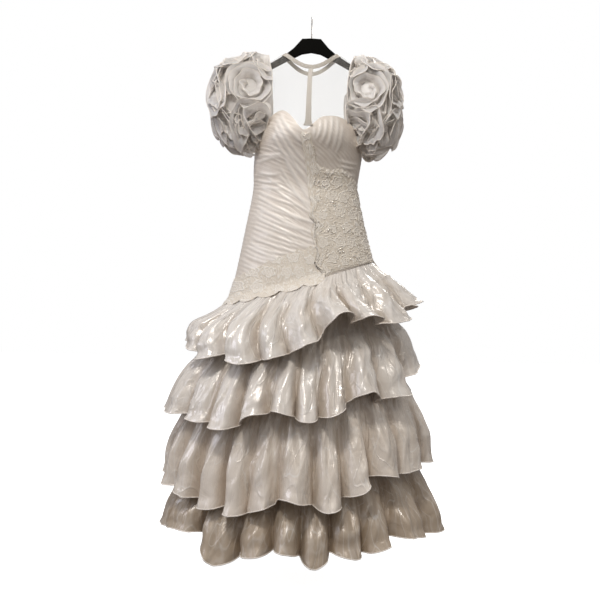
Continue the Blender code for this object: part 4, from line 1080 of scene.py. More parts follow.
def rolled_edge_tree():
    """A round roll along every edge line, for hand-rolled hems."""
    made, given, out = geometry_tree("rolled_edge", [
        ("Roll radius", "NodeSocketFloat", 0.0014),
        ("Sides", "NodeSocketInt", 6),
        ("Finish", "NodeSocketMaterial", None),
    ])
    link = made.links.new
    curve = made.nodes.new("GeometryNodeMeshToCurve")
    ring = made.nodes.new("GeometryNodeCurvePrimitiveCircle")
    tube = made.nodes.new("GeometryNodeCurveToMesh")
    tube.inputs["Fill Caps"].default_value = True
    real = made.nodes.new("GeometryNodeRealizeInstances")
    dressed = made.nodes.new("GeometryNodeSetMaterial")
    link(given.outputs["Geometry"], curve.inputs["Mesh"])
    link(given.outputs["Sides"], ring.inputs["Resolution"])
    link(given.outputs["Roll radius"], ring.inputs["Radius"])
    link(curve.outputs["Curve"], tube.inputs["Curve"])
    link(ring.outputs["Curve"], tube.inputs["Profile Curve"])
    link(tube.outputs["Mesh"], real.inputs["Geometry"])
    link(real.outputs["Geometry"], dressed.inputs["Geometry"])
    link(given.outputs["Finish"], dressed.inputs["Material"])
    link(dressed.outputs["Geometry"], out.inputs["Geometry"])
    return made


def bead_tree():
    """A small faceted bead at every point, turned along its normal and of its own size."""
    made, given, out = geometry_tree("sewn_beads", [
        ("Bead radius", "NodeSocketFloat", 0.0016),
        ("Flatness", "NodeSocketFloat", 0.8),
        ("Seed", "NodeSocketInt", 4),
        ("Finish", "NodeSocketMaterial", None),
    ])
    link = made.links.new
    ball = made.nodes.new("GeometryNodeMeshIcoSphere")
    ball.inputs["Subdivisions"].default_value = 2
    size = made.nodes.new("ShaderNodeCombineXYZ")
    flat = made.nodes.new("ShaderNodeMath")
    flat.operation = "MULTIPLY"
    spread = made.nodes.new("FunctionNodeRandomValue")
    spread.inputs[2].default_value = 0.7
    spread.inputs[3].default_value = 1.25
    facing = made.nodes.new("FunctionNodeAlignRotationToVector")
    facing.axis = "Z"
    normal = made.nodes.new("GeometryNodeInputNamedAttribute")
    normal.data_type = "FLOAT_VECTOR"
    normal.inputs["Name"].default_value = "facing"
    placed = made.nodes.new("GeometryNodeInstanceOnPoints")
    scaled = made.nodes.new("ShaderNodeVectorMath")
    scaled.operation = "SCALE"
    real = made.nodes.new("GeometryNodeRealizeInstances")
    dressed = made.nodes.new("GeometryNodeSetMaterial")
    points = made.nodes.new("GeometryNodeMeshToPoints")
    link(given.outputs["Geometry"], points.inputs["Mesh"])
    link(points.outputs["Points"], placed.inputs["Points"])
    link(given.outputs["Bead radius"], ball.inputs["Radius"])
    link(ball.outputs["Mesh"], placed.inputs["Instance"])
    link(given.outputs["Seed"], spread.inputs["Seed"])
    link(given.outputs["Flatness"], flat.inputs[0])
    flat.inputs[1].default_value = 1.0
    size.inputs[0].default_value = size.inputs[1].default_value = 1.0
    link(flat.outputs[0], size.inputs[2])
    link(size.outputs[0], scaled.inputs[0])
    link(spread.outputs[1], scaled.inputs["Scale"])
    link(scaled.outputs[0], placed.inputs["Scale"])
    link(normal.outputs["Attribute"], facing.inputs["Vector"])
    link(facing.outputs[0], placed.inputs["Rotation"])
    link(placed.outputs["Instances"], real.inputs["Geometry"])
    link(real.outputs["Geometry"], dressed.inputs["Geometry"])
    link(given.outputs["Finish"], dressed.inputs["Material"])
    link(dressed.outputs["Geometry"], out.inputs["Geometry"])
    return made


def grown(name, points, edges, tree, values, finish, facing=None):
    """Runs a node tree on points and edges, and keeps the result as a plain mesh."""
    base = bpy.data.meshes.new(name + "_lines")
    base.from_pydata((np.asarray(points) * MM).tolist(), edges, [])
    if facing is not None:
        attribute = base.attributes.new("facing", "FLOAT_VECTOR", "POINT")
        attribute.data.foreach_set("vector", np.asarray(facing, np.float32).ravel())
    carrier = bpy.data.objects.new(name + "_lines", base)
    bpy.context.scene.collection.objects.link(carrier)
    modifier = carrier.modifiers.new("grow", "NODES")
    modifier.node_group = tree
    sockets = {item.name: item.identifier for item in tree.interface.items_tree
               if item.in_out == "INPUT"}
    for label, value in {**values, "Finish": finish}.items():
        modifier[sockets[label]] = value
    bpy.context.view_layer.update()
    evaluated = carrier.evaluated_get(bpy.context.evaluated_depsgraph_get())
    mesh = bpy.data.meshes.new_from_object(evaluated)
    bpy.data.objects.remove(carrier)
    bpy.data.meshes.remove(base)
    if not len(mesh.polygons):
        raise RuntimeError(f"{name}: the node tree gave no faces")
    return finished(name, mesh, finish)


def ring_edges(count):
    return [(k, (k + 1) % count) for k in range(count)]


def path_edges(counts):
    """Edges that join each run of points, one run for each count."""
    edges, start = [], 0
    for count in counts:
        edges += [(start + k, start + k + 1) for k in range(count - 1)]
        start += count
    return edges


def make_stage():
    """Pale floor, soft lights and the camera at the photograph's angle."""
    scene = bpy.context.scene
    scene.view_settings.view_transform = "Standard"
    scene.view_settings.look = "None"
    mesh = bpy.data.meshes.new("floor")
    size, floor_z = 9.0, CAD_BOX[0][2] - 0.10
    mesh.from_pydata([(-size, -size, floor_z), (size, -size, floor_z), (size, size, floor_z),
                      (-size, size, floor_z)], [], [(0, 1, 2, 3)])
    floor = Finish("pale_floor")
    shade = floor.noise(floor.place("Object"), 2.0, 2)
    floor.shade(Base_Color=floor.mix(shade.clamped(0.3, 0.7), (0.90, 0.90, 0.89), (0.93, 0.93, 0.92)))
    floor.shade(Roughness=0.8, Emission_Color=(1.0, 1.0, 1.0), Emission_Strength=0.92)
    mesh.materials.append(floor.material)
    made = bpy.data.objects.new("floor", mesh)
    made.visible_diffuse = made.visible_glossy = False
    scene.collection.objects.link(made)

    world = bpy.data.worlds.new("studio")
    world.use_nodes = True
    nodes, links = world.node_tree.nodes, world.node_tree.links
    shown = nodes["Background"]
    shown.inputs["Color"].default_value = (1, 1, 1, 1)
    shown.inputs["Strength"].default_value = 1.0
    light = nodes.new("ShaderNodeBackground")
    above = nodes.new("ShaderNodeTexCoord")
    parts, fall, tint = (nodes.new(f"ShaderNode{kind}") for kind in ("SeparateXYZ", "MapRange", "Mix"))
    tint.data_type = "RGBA"
    links.new(above.outputs["Generated"], parts.inputs[0])
    links.new(parts.outputs["Z"], fall.inputs["Value"])
    for key, value in (("From Min", -0.5), ("From Max", 0.8), ("To Min", 0.0), ("To Max", 1.0)):
        fall.inputs[key].default_value = value
    links.new(fall.outputs[0], tint.inputs["Factor"])
    tint.inputs[6].default_value = (0.070, 0.050, 0.038, 1)
    tint.inputs[7].default_value = (0.62, 0.61, 0.61, 1)
    links.new(tint.outputs[2], light.inputs["Color"])
    light.inputs["Strength"].default_value = 1.0
    path, mixed = nodes.new("ShaderNodeLightPath"), nodes.new("ShaderNodeMixShader")
    links.new(path.outputs["Is Camera Ray"], mixed.inputs[0])
    links.new(light.outputs[0], mixed.inputs[1])
    links.new(shown.outputs[0], mixed.inputs[2])
    links.new(mixed.outputs[0], nodes["World Output"].inputs[0])
    scene.world = world

    lamps = {
        "key": ((-0.58, -1.62, 1.18), (-0.02, 0, -0.36), 0.50, 27, (1.0, 0.965, 0.92)),
        "side": ((-2.0, -0.9, 0.0), (0, 0, -0.7), 0.8, 9, (0.84, 0.86, 1.0)),
        "strip": ((1.15, -1.8, 0.45), (0.1, 0, -0.6), 0.28, 3, (1.0, 0.93, 0.84)),
        "back": ((0.9, 1.9, 0.6), (0, 0, -0.7), 0.9, 24, (1.0, 0.97, 0.93)),
    }
    for name, (spot, aim, width, power, colour) in lamps.items():
        lamp = bpy.data.lights.new(name, "AREA")
        lamp.size, lamp.energy, lamp.color = width, power, colour
        holder = bpy.data.objects.new(name, lamp)
        way = np.array(aim) - np.array(spot)
        holder.location = spot
        holder.rotation_euler = Vector(way).to_track_quat("-Z", "Y").to_euler()
        scene.collection.objects.link(holder)

    lens = bpy.data.cameras.new("camera")
    lens.lens, lens.sensor_width = 50, 36
    camera = bpy.data.objects.new("camera", lens)
    camera.location = (-0.018, -2.5, -0.846)
    turned = Matrix.Rotation(math.radians(90), 3, "X") @ Matrix.Rotation(math.radians(1.24), 3, "Z")
    camera.rotation_euler = turned.to_euler()
    scene.collection.objects.link(camera)
    scene.camera = camera


def make_hanger():
    """The flat plastic hanger and its wire hook keep their solids and get their finishes."""
    for name, finish in (("hanger", black_plastic("black_plastic_worn")),
                         ("hook", steel_wire("steel_wire_drawn"))):
        node = bpy.data.objects[name]
        for slot in node.material_slots:
            slot.material = finish


def make_bodice():
    """Ruched satin front and two satin back panels."""
    edge = 90 - SIDE_SEAM_GAP_DEG
    # Painted light: brightness 1.14 makes the bodice a lighter copy of the flounces' satin.
    finish = satin("satin_bodice", 0.2, 0.12, 1.14)
    columns, shares = np.linspace(-edge, edge, 250), np.linspace(0, 1, 260)
    points, outward = grid(bodice_front, columns, shares)
    height = ruche_height(points[..., 0], points[..., 2])
    ends = ease(shares, 0, 0.012)[:, None] * (1 - ease(shares, 0.975, 0.995))[:, None]
    start = np.interp(columns, LACE_FALL[:, 0], LACE_FALL[:, 1], left=2)
    end = np.interp(columns, LACE_FALL[:, 0], LACE_FALL[:, 2], left=2)
    under = ease(shares[:, None], start - 0.01, start + 0.02)
    under = under * (1 - ease(shares[:, None], end - 0.02, end + 0.005))
    height = height * ends * (1 - 0.7 * under)
    outer = points + outward * height[..., None]
    plain, plain_out = grid(bodice_front, columns[::6], np.linspace(0, 1, 40))
    # Painted shade: darker where the ruched pleats are low, between them.
    painted_shade = np.clip(1 - height / 2.4, 0, 1) * 0.5
    front = cloth("satin_front", outer, plain - plain_out * BODICE_THICK, finish,
                  measures={"painted_shade": painted_shade})
    attach(front, "ivory_satin", "bodice_front")
    for name, node, first, last in (
        ("satin_back_left", "bodice_back_left", 90 + SIDE_SEAM_GAP_DEG, 180 - SIDE_SEAM_GAP_DEG),
        ("satin_back_right", "bodice_back_right", 180 + SIDE_SEAM_GAP_DEG, 270 - SIDE_SEAM_GAP_DEG),
    ):
        columns, shares = np.linspace(first, last, 91), np.linspace(0, 1, 110)
        points, outward = grid(bodice_back, columns, shares)
        y, z = columns[None, :] * 2.0, points[..., 2]
        pull = 1.1 * np.exp(-((columns - 180) / 5) ** 2)[None, :] * ripple(z / 9, 0, (1,), 2)
        creases = 1.5 * np.maximum(wander(y / 60, z / 9, 2.2), 0) ** 2 + pull
        creases = creases * ease(shares, 0, 0.04)[:, None] * (1 - ease(shares, 0.93, 0.99))[:, None]
        outer = points + outward * np.maximum(creases, -0.5)[..., None]
        plain, plain_out = grid(bodice_back, columns[::6], np.linspace(0, 1, 22))
        # Painted shade: darker in the hollows between the back's creases.
        painted_shade = np.clip(0.6 - creases / 2, 0, 1) * 0.5
        back = cloth(name, outer, plain - plain_out * BODICE_THICK, finish,
                     measures={"painted_shade": painted_shade})
        attach(back, "ivory_satin", node)


def make_lace():
    """Corded lace over the +X front, and a scalloped border round the dropped waist."""
    finish = lace("corded_lace_thread")
    relief = bpy.context.scene.dress_sizes.lace_relief
    across = np.linspace(0, 1, 190)
    down = np.linspace(0, 1, 250)[:, None]
    leaf = 4 * np.abs(np.sin(8.5 * down + 0.4)) ** 0.8 + 1.2 * np.sin(61 * down)
    columns = LACE_FALL[0, 0] + (LACE_FALL[-1, 0] - LACE_FALL[0, 0]) * across + 0 * down
    first = smooth(columns, LACE_FALL[:, 0], LACE_FALL[:, 1])
    last = smooth(columns, LACE_FALL[:, 0], LACE_FALL[:, 2])
    leafy = 0.018 * np.abs(np.sin(columns * 0.115)) + 0.005 * np.sin(columns * 1.1)
    shares = first - leafy * (1 - down) + (last - first) * down
    lobes = 5 * np.abs(np.sin(19 * shares + 0.3)) ** 0.8 + 1.6 * np.sin(57 * shares)
    lobes = lobes * ease(shares, 0.30, 0.42) * np.exp(-((columns - 15) / 9) ** 2)
    columns = columns - leaf * (1 - across) ** 3 - lobes
    points = bodice_front(columns, shares)
    outward = normals(bodice_front, columns, shares)
    cord = cord_relief(points[..., 0] + 0.25 * points[..., 1], points[..., 2])
    rim = np.minimum(ease(across, 0, 0.035), ease(down, 0, 0.02))
    rim = np.minimum(rim, 1 - 0.8 * ease(down, 0.965, 1))
    over = 1.2 * (1 - ease(columns, 9, 17)) * rim
    lift = 1.45 + LACE_THICK * rim + relief * cord * (0.3 + 0.7 * rim) + over
    outer = points + outward * lift[..., None]
    rows = np.unique(np.append(np.arange(0, 250, 6), 249))
    stops = np.unique(np.append(np.arange(0, 190, 6), 189))
    inner = (points + outward * 1.3)[rows][:, stops]
    fall = cloth("lace_over_front", outer, inner, finish, measures={"cord": cord})
    attach(fall, "corded_lace", "lace_fall")
    for name, node, surface, first, last, count in (
        ("lace_border_of_front", "lace_border_front", bodice_front, -89.9, 14, 190),
        ("lace_border_of_back_left", "lace_border_back_left", bodice_back, 90.1, 179.8, 169),
        ("lace_border_of_back_right", "lace_border_back_right", bodice_back, 180.2, 269.9, 169),
    ):
        columns = np.linspace(first, last, count)
        centre = np.cos(np.radians(columns)) ** 2 if surface is bodice_front else 0 * columns
        height = 64 + 28 * centre + 7 * np.abs(np.sin(np.radians(columns) * 13)) ** 0.7 - 3
        height = height + 3 * np.sin(np.radians(columns) * 41)
        low = -9 - 12 * np.abs(np.sin(np.radians(columns) * 10.5 + 0.4)) ** 0.7
        heights = waist_z(columns) + low + (height - low) * np.linspace(1, 0, 43)[:, None]
        shares = np.array([share_at(surface, columns, np.maximum(z, waist_z(columns) + 0.5))
                           for z in heights])
        points, outward = grid(surface, columns, shares)
        below = np.maximum(waist_z(columns) + 0.5 - heights, 0)
        points[..., 2] -= below
        cord = cord_relief(points[..., 0] + 0.4 * points[..., 1], points[..., 2])
        lift = 1.1 + LACE_THICK + relief * cord + 0.62 * below
        lift = lift + 4.0 * ease(waist_z(columns) - heights, -16, 2)
        outer = points + outward * lift[..., None]
        inner = points + outward * (lift - relief * cord - LACE_THICK)[..., None]
        border = cloth(name, outer, inner[::3, ::3], finish, measures={"cord": cord})
        attach(border, "corded_lace", node)


def make_skirt():
    """The plain underskirt and its four flounces with rolled hems."""
    # Painted shade: the underskirt's satin is a warmer, darker copy, and its painted shade measure is 0.5
    # all over.
    finish = satin("satin_underskirt", 1.0, 0.7)
    columns = np.arange(160) * 360 / 160
    shares = np.linspace(0, 1, 40)
    points, outward = grid(underskirt, columns, shares)
    soft = 2.2 * ripple(np.radians(columns)[None, :], 3 * shares[:, None], (9, 14, 23), 2)
    soft = soft * ease(shares, 0.2, 0.9)[:, None]
    points = points - outward * (2.2 + UNDERSKIRT_EASE * ease(shares, 0.1, 1)[:, None] - soft)[..., None]
    made = shell("underskirt_satin", points, outward, 1.0, finish, 0.0, True,
                 {"painted_shade": 0.5 + 0 * points[..., 0]})
    attach(made, "ivory_satin", "underskirt")
    rolled = rolled_edge_tree()
    # Painted highlight: the hem's roll is a lighter copy of the satin, brightness 1.25.
    hem_finish = satin("satin_rolled_hem", 0.0, 0.1, 1.25)
    for k in (1, 2, 3, 4):
        name = f"flounce_{k}"
        finish = satin(f"satin_flounce_{k}", *FLOUNCE_PAINTED_SHADE_AND_GLOSS[name])

        def surface(bearing, share, name=name):
            return flounce_point(name, bearing, share)

        tier = TIERS[name]
        columns = np.concatenate([np.linspace(-100, 100, 400, endpoint=False),
                                  np.linspace(100, 260, 160, endpoint=False)])
        shares = np.linspace(0, 1, 47) ** 0.9
        points = surface(columns[None, :], shares[:, None])
        outward = ring_normals(points)
        wave, _ = fold_at(tier, columns)
        # Painted shade: darker in the folds' valleys, more so further down the flounce.
        painted_shade = ease(-wave, -0.4, 1.1)[None, :] * ease(shares, 0.05, 0.6)[:, None]
        half = outward * SATIN_THICK / 2
        made = cloth(f"satin_{name}", points + half, (points - half)[::2, ::2], finish, True,
                     {"painted_shade": painted_shade})
        attach(made, "ivory_satin", name)
        hem = grown(f"rolled_hem_{k}", points[-1] + outward[-1] * 0.4, ring_edges(560), rolled,
                    {"Roll radius": 0.0017, "Sides": 6}, hem_finish)
        attach(hem, "ivory_satin")


def ring_normals(points):
    """Outward directions of a grid that closes round its rows."""
    wrapped = np.concatenate([points[:, -1:], points, points[:, :1]], 1)
    across = (wrapped[:, 2:] - wrapped[:, :-2])
    down = np.gradient(points, axis=0)
    return unit(np.cross(down, across))


def open_normals(points):
    return unit(np.cross(np.gradient(points, axis=0), np.gradient(points, axis=1)))


def surface_steps(side, place, station):
    """Millimetres to a degree of place and to a whole station of a sleeve's surface."""
    def base(a, s):
        return sleeve_point(side, a, np.clip(s, 0, 1))

    along = np.linalg.norm(base(place + 0.5, station) - base(place - 0.5, station), axis=-1)
    low, high = np.clip(station - 0.02, 0, 1), np.clip(station + 0.02, 0, 1)
    down = np.linalg.norm(base(place, high) - base(place, low), axis=-1) / (high - low)
    return along, down


def standing_ruffle(side, place, station, steps, ways, heights, lift, flutter):
    """Rows of a ruffle from its edge to its root. It is sewn down along place and station, leans
    along ways, stands as high as heights says and flutters at its edge."""
    per_place, per_station = steps
    rows = []
    for up in (1.0, 0.9, 0.72, 0.5, 0.25, 0.0):
        lean = (0.34 * up**1.2 + 0.22 * ease(np.array(up), 0.7, 1.0)) * heights + flutter * up**1.5
        a = place + lean * ways[0] / per_place
        s = np.clip(station + lean * ways[1] / per_station, 0.015, 0.99)
        here = sleeve_point(side, a, s)
        out = normals(lambda a, s: sleeve_point(side, a, s), a, s)
        away = here - sleeve_point(side, 0 * a + 180, s)
        out = np.where(((out * away).sum(-1) < 0)[:, None], -out, out)
        rise = lift + heights * (up - 0.05 * ease(np.array(up), 0.85, 1.0))
        rows.append(here + out * rise[:, None])
    return np.array(rows)


def spiral_ruffle(side, place, station, first, last, start_deg, turns, height, lift, seed):
    """A ruffle coiled round its own centre, as a rose or part of one."""
    along = np.linspace(0, 1, max(int(64 * turns), 24))
    turn = math.radians(start_deg) + 2 * np.pi * turns * along
    reach = first + (last - first) * along**0.8
    per_place, per_station = surface_steps(side, np.array(float(place)), np.array(float(station)))
    ways = (np.cos(turn), np.sin(turn))
    a, s = place + reach * ways[0] / per_place, station + reach * ways[1] / per_station
    heights = height * (0.8 + 0.2 * along) * (1 + 0.10 * np.sin(3.3 * turn + seed))
    heights = heights * (0.35 + 0.65 * ease(along, 0, 0.07) * (1 - ease(along, 0.93, 1.0)))
    flutter = height * (0.16 * np.sin(2.6 * turn + seed) + 0.07 * np.sin(7.3 * turn + 2 * seed))
    return standing_ruffle(side, a, s, (per_place, per_station), ways, heights, lift, flutter)


def winding_ruffles(side, station, first, last, waves, swing, height, seed):
    """A ruffle sewn down in loops round the sleeve, left out where a rose is."""
    along = np.linspace(0, 1, waves * 26)
    phase = 2 * np.pi * waves * along + 0.55 * np.sin(2 * np.pi * along * 2.3 + seed) + seed
    size = 1 + 0.28 * np.sin(5.3 * along * 2 + 2 * seed)
    place = first + (last - first) * along
    steps = surface_steps(side, place, station + 0 * place)
    place = place + 0.3 * swing * size * np.sin(2 * phase) / steps[0]
    s = np.clip(station + swing * size * np.sin(phase) / np.maximum(steps[1], 90), 0.02, 0.93)
    ways = (0 * phase, np.sin(phase))
    free = np.ones(len(along))
    for centre, level, radius, *_ in ROSES.values():
        steps_there = surface_steps(side, np.array(float(centre)), np.array(float(level)))
        apart = np.hypot(((place - centre + 180) % 360 - 180) * steps_there[0],
                         (s - level) * steps_there[1])
        free = np.minimum(free, ease(apart, radius * 0.72, radius * 1.0))
    inner = ease(np.abs((place + 180) % 360 - 180), 128, 172)
    heights = height * free * (1 - 0.55 * inner) * (1 + 0.16 * np.sin(7.1 * along * 3 + seed))
    flutter = height * (0.10 * np.sin(3.1 * phase + seed) + 0.05 * np.sin(6.7 * phase))
    kept = heights > 0.28 * height
    runs = np.split(np.arange(len(along)), np.flatnonzero(np.diff(kept.astype(int))) + 1)
    return [standing_ruffle(side, place[k], s[k], (steps[0][k], np.maximum(steps[1][k], 90)),
                            (ways[0][k], ways[1][k]), heights[k], 0.5, flutter[k])
            for k in runs if kept[k[0]] and len(k) > 12]


def joined(name, pieces, finish):
    """One piece from many, kept with their UV map and attributes."""
    work = bmesh.new()
    for piece in pieces:
        work.from_mesh(piece.data)
    mesh = bpy.data.meshes.new(name)
    work.to_mesh(mesh)
    work.free()
    for piece in pieces:
        spent = piece.data
        bpy.data.objects.remove(piece)
        bpy.data.meshes.remove(spent)
    return finished(name, mesh, finish)


def make_sleeves():
    """Puffs of organza: a gathered base under roses and ruffles with rolled edges."""
    finish = organza("organza_crisp")
    # Painted highlight: the ruffles' rolled edges are a lighter copy of the satin, brightness 1.22.
    edge_finish = satin("rolled_edge_satin", 0.0, 0.05, 1.22)
    rolled = rolled_edge_tree()
    for word, side in (("left", 1), ("right", -1)):
        def surface(place, station, side=side):
            return sleeve_point(side, -side * place, station)

        columns = np.arange(100) * 360 / 100
        stations = np.linspace(0, 1, 40)
        points, outward = grid(surface, columns, stations)
        outward = facing_out(points, outward, points.reshape(-1, 3).mean(0))
        puckers = 1.8 * ripple(np.radians(columns)[None, :], 9 * stations[:, None], (17, 23, 31), side)
        points = points + outward * (puckers - 1.4)[..., None] * ease(stations, 0, 0.1)[:, None, None]
        # Painted shade: the sleeve's base, under its ruffles, is shaded at 0.7 all over.
        base = shell(f"organza_base_{word}", points, outward, ORGANZA_THICK, finish,
                     -ORGANZA_THICK, True, {"painted_shade": 0.7 + 0 * points[..., 0]})
        attach(base, "ivory_organza", f"sleeve_{word}")
        edges, counts = [], []

        def ruffle(name, lines):
            # Painted shade: each ruffle darkens from none at its edge to full at its root.
            made = shell(name, lines, open_normals(lines), ORGANZA_THICK, finish, -ORGANZA_THICK / 2,
                         measures={"painted_shade": np.linspace(0, 1, len(lines))[:, None] + 0 * lines[..., 0]})
            recalculated(made.data)
            edges.append(lines[0])
            counts.append(lines.shape[1])
            return made, float(lengths(lines, 1)[-1]), float(lengths(lines, 0)[-1])

        for number, (rose, (place, station, radius, height, turns, lift)) in enumerate(ROSES.items()):
            lines = spiral_ruffle(side, place, station, 4, radius, 0, turns + 0.7, height, lift,
                                  number * 1.9 + side)
            made, run, deep = ruffle(f"organza_rose_{word}_{rose}", lines)
            attach(made, "ivory_organza", f"sleeve_{word}_rose_{rose}")
            run * 1.15
        found = []
        for number, row in enumerate(FILLERS[side]):
            found.append(spiral_ruffle(side, *row, seed=number * 1.9 + side))
        for number, row in enumerate(WINDINGS[side]):
            found += winding_ruffles(side, *row, seed=number * 2.3 + side)
        parts = [ruffle(f"part_{number}", lines) for number, lines in enumerate(found)]
        run = sum(length for _, length, _ in parts)
        deep = sum(length * depth for _, length, depth in parts) / run
        made = joined(f"organza_ruffles_{word}", [piece for piece, _, _ in parts], finish)
        attach(made, "ivory_organza")
        run * 1.05
        hems = grown(f"rolled_edges_{word}", np.concatenate(edges), path_edges(counts), rolled,
                     {"Roll radius": 0.00115, "Sides": 5}, edge_finish)
        attach(hems, "ivory_organza")


def make_yoke():
    """Sheer net from the neck band to the bodice and sleeves, open down the centre back."""
    finish = net("illusion_net_fine")
    for name, node, front, first, last, count in (
        ("yoke_net_front", "yoke_front", True, 0, 1, 70),
        ("yoke_net_back_left", "yoke_back_left", False, 0, 0.497, 36),
        ("yoke_net_back_right", "yoke_back_right", False, 0.503, 1, 36),
    ):
        u = np.linspace(first, last, count)[None, :]
        v = np.linspace(0, 1, 34)[:, None] ** 1.3
        points = yoke_point(front, u + 0 * v, v + 0 * u)
        outward = open_normals(points)
        made = shell(name, points, outward, 0.4, finish, -0.2)
        attach(made, "illusion_net", node)


def make_neck():
    """The beaded band, its strip to the neckline and the button at the back."""
    finish = lace("band_lace_thread", 0.68)
    gap_deg = math.degrees(SEAM_GAP / BAND_HALF_WIDTH)
    line, width, outward = band_frame(np.linspace(-180 + gap_deg, 180 - gap_deg, 300))
    across = np.linspace(0.5, -0.5, 12)[:, None, None] * BAND_TAPE
    points = line[None] + width[None] * across
    both = np.broadcast_to(outward, points.shape)
    edge = 1 - np.abs(np.linspace(-1, 1, 12)) ** 4
    cord = 0.5 + 0.5 * np.sin(np.arange(300) * 0.9)[None, :] * np.cos(np.linspace(-3.4, 3.4, 12))[:, None]
    swell = (0.5 * edge[:, None] + 0.5 * cord * edge[:, None])
    outer = points + both * (0.3 + swell)[..., None]
    inner = points - both * 0.7
    band = cloth("neck_band_lace", outer, inner, finish, measures={"cord": cord})
    attach(band, "corded_lace", "neck_band")

    rows = np.linspace(0.012, 0.985, 120)
    half = (STRIP_TOP_WIDTH + (STRIP_END_WIDTH - STRIP_TOP_WIDTH) * rows**2) / 2
    half = half + 0.9 * np.abs(np.sin(rows * 60)) + 4.5 * np.exp(-((rows - 0.985) / 0.05) ** 2)
    middle = yoke_point(True, 0.5 + 0 * rows, rows)
    shares = np.linspace(-1, 1, 11)
    points = middle[:, None] + half[:, None, None] * shares[None, :, None] * np.array([1.0, 0, 0])
    out = unit(np.cross(np.gradient(middle, axis=0), np.array([1.0, 0, 0])))[:, None]
    cord = 0.5 + 0.5 * np.sin(rows * 150)[:, None] * np.cos(shares * 3.4)[None, :]
    swell = (1 - np.abs(shares) ** 4)[None, :] * (0.5 + 0.6 * cord)
    outer = points + out * (1.5 + 1.2 + swell)[..., None]
    inner = points + out * 1.5
    strip = cloth("neck_strip_lace", outer, inner, finish, measures={"cord": cord})
    attach(strip, "corded_lace", "neck_strip")

    beads = bead_tree()
    finish = glass_bead("band_bead", (0.93, 0.9, 0.86), 0.14)
    places, facing = [], []
    for k in range(0, 300, 3):
        for share in (0.42, 0.0, -0.42):
            shift = k + (1 if share == 0 else 0)
            places.append(line[shift] + width[shift] * share * BAND_TAPE + outward[shift] * 0.9)
            facing.append(outward[shift])
    for k in range(2, 118, 2):
        for share in (-0.86, 0.0, 0.86):
            side = middle[k] + np.array([half[k] * share, 0, 0])
            places.append(side + out[k, 0] * 3.0)
            facing.append(out[k, 0])
    made = grown("neck_beads", np.array(places), [], beads,
                 {"Bead radius": 0.0013, "Flatness": 0.8, "Seed": 3}, finish, np.array(facing))
    attach(made, "pearl")

    profile = np.array([(0, 5.6), (2.2, 5.3), (4.2, 4.2), (5.2, 2.6), (5.5, 1.2), (4.6, 0.4),
                        (1.6, 0.2), (0, 0.15)])
    turns = np.linspace(0, 2 * np.pi, 36, endpoint=False)
    button = bpy.data.meshes.new("neck_button_pearl")
    centre_y = 40 + 0.9 + SEAM_GAP
    points, faces = [(0, centre_y + profile[0, 1], 0)], []
    for radius, rise in profile[1:-1]:
        points += [(radius * math.cos(t), centre_y + rise, radius * math.sin(t)) for t in turns]
    points.append((0, centre_y + profile[-1, 1], 0))
    count, rings = len(turns), len(profile) - 2
    for k in range(count):
        nxt = (k + 1) % count
        faces.append((0, 1 + k, 1 + nxt))
        for r in range(rings - 1):
            a = 1 + r * count
            faces.append((a + k, a + count + k, a + count + nxt, a + nxt))
        last = 1 + (rings - 1) * count
        faces.append((last + k, len(points) - 1, last + nxt))
    placed = np.array(points) + np.array([0, 0, BAND_TOP_Z - BAND_DROP])
    button.from_pydata((placed * MM).tolist(), [], faces)
    recalculated(button)
    pearl = finished("neck_button_pearl", button, glass_bead("pearl_button", (1, 0.97, 0.93), 0.18))
    attach(pearl, "pearl", "neck_button")


def on_front(x, z, lift):
    """A point of the front panel's outside at an x and z, and its outward direction."""
    bearing = np.degrees(np.arcsin(np.clip((x + 5) / 165, -0.98, 0.98)))
    for _ in range(6):
        share = share_at(bodice_front, bearing, z)
        here = bodice_front(bearing, share)
        slope = np.maximum(165 * np.cos(np.radians(bearing)), 40) * np.pi / 180
        bearing = np.clip(bearing + (x - here[:, 0]) / slope, -88, 88)
    share = share_at(bodice_front, bearing, z)
    here, out = bodice_front(bearing, share), normals(bodice_front, bearing, share)
    return here + out * lift, out


def make_beads():
    """Pearls sewn over the lace and clusters of crystal where the lace sparkles."""
    beads = bead_tree()
    chance = np.random.default_rng(11)
    columns, first, last = LACE_FALL.T
    bearing = chance.uniform(3, 88, 620)
    low, high = np.interp(bearing, columns, first), np.interp(bearing, columns, last)
    share = low + (high - low) * chance.uniform(0.03, 0.99, 620)
    here = bodice_front(bearing, share)
    out = normals(bodice_front, bearing, share)
    cord = cord_relief(here[:, 0] + 0.25 * here[:, 1], here[:, 2])
    keep = cord > 0.3
    here, out = (here + out * 4.6)[keep], out[keep]
    made = grown("lace_pearls", here, [], beads,
                 {"Bead radius": 0.0013, "Flatness": 0.75, "Seed": 5},
                 glass_bead("seed_pearl", (0.97, 0.93, 0.86), 0.18), out)
    attach(made, "pearl")
    xs, zs = [], []
    for x, z, spread, count in CRYSTALS:
        xs += list(x + chance.normal(0, spread / 2, count))
        zs += list(z + chance.normal(0, spread / 2, count))
    here, out = on_front(np.array(xs), np.array(zs), 5.2)
    made = grown("lace_crystals", here, [], beads,
                 {"Bead radius": 0.0022, "Flatness": 0.6, "Seed": 9},
                 glass_bead("crystal", (1.0, 1.0, 1.0), 0.03), out)
    attach(made, "pearl")


class DressSizes(PropertyGroup):
    """Sizes that a user would change."""

    fold_depth: FloatProperty(name="Fold depth", description="Depth of the flounces' folds against "
                              "the solid's", default=1.0, min=0.5, max=1.1, subtype="FACTOR")
    finer_folds: FloatProperty(name="Finer folds", description="Height of the flounces' finer folds "
                               "against the table's", default=1.0, min=0, max=1.5)
    pleat_depth: FloatProperty(name="Pleat depth", description="Height of the ruched pleats against "
                               "the table's", default=1.0, min=0, max=1.5)
    lace_relief: FloatProperty(name="Lace relief", description="How far the cord stands above its "
                               "net, in millimetres", default=2.1, min=0.2, max=2.5)


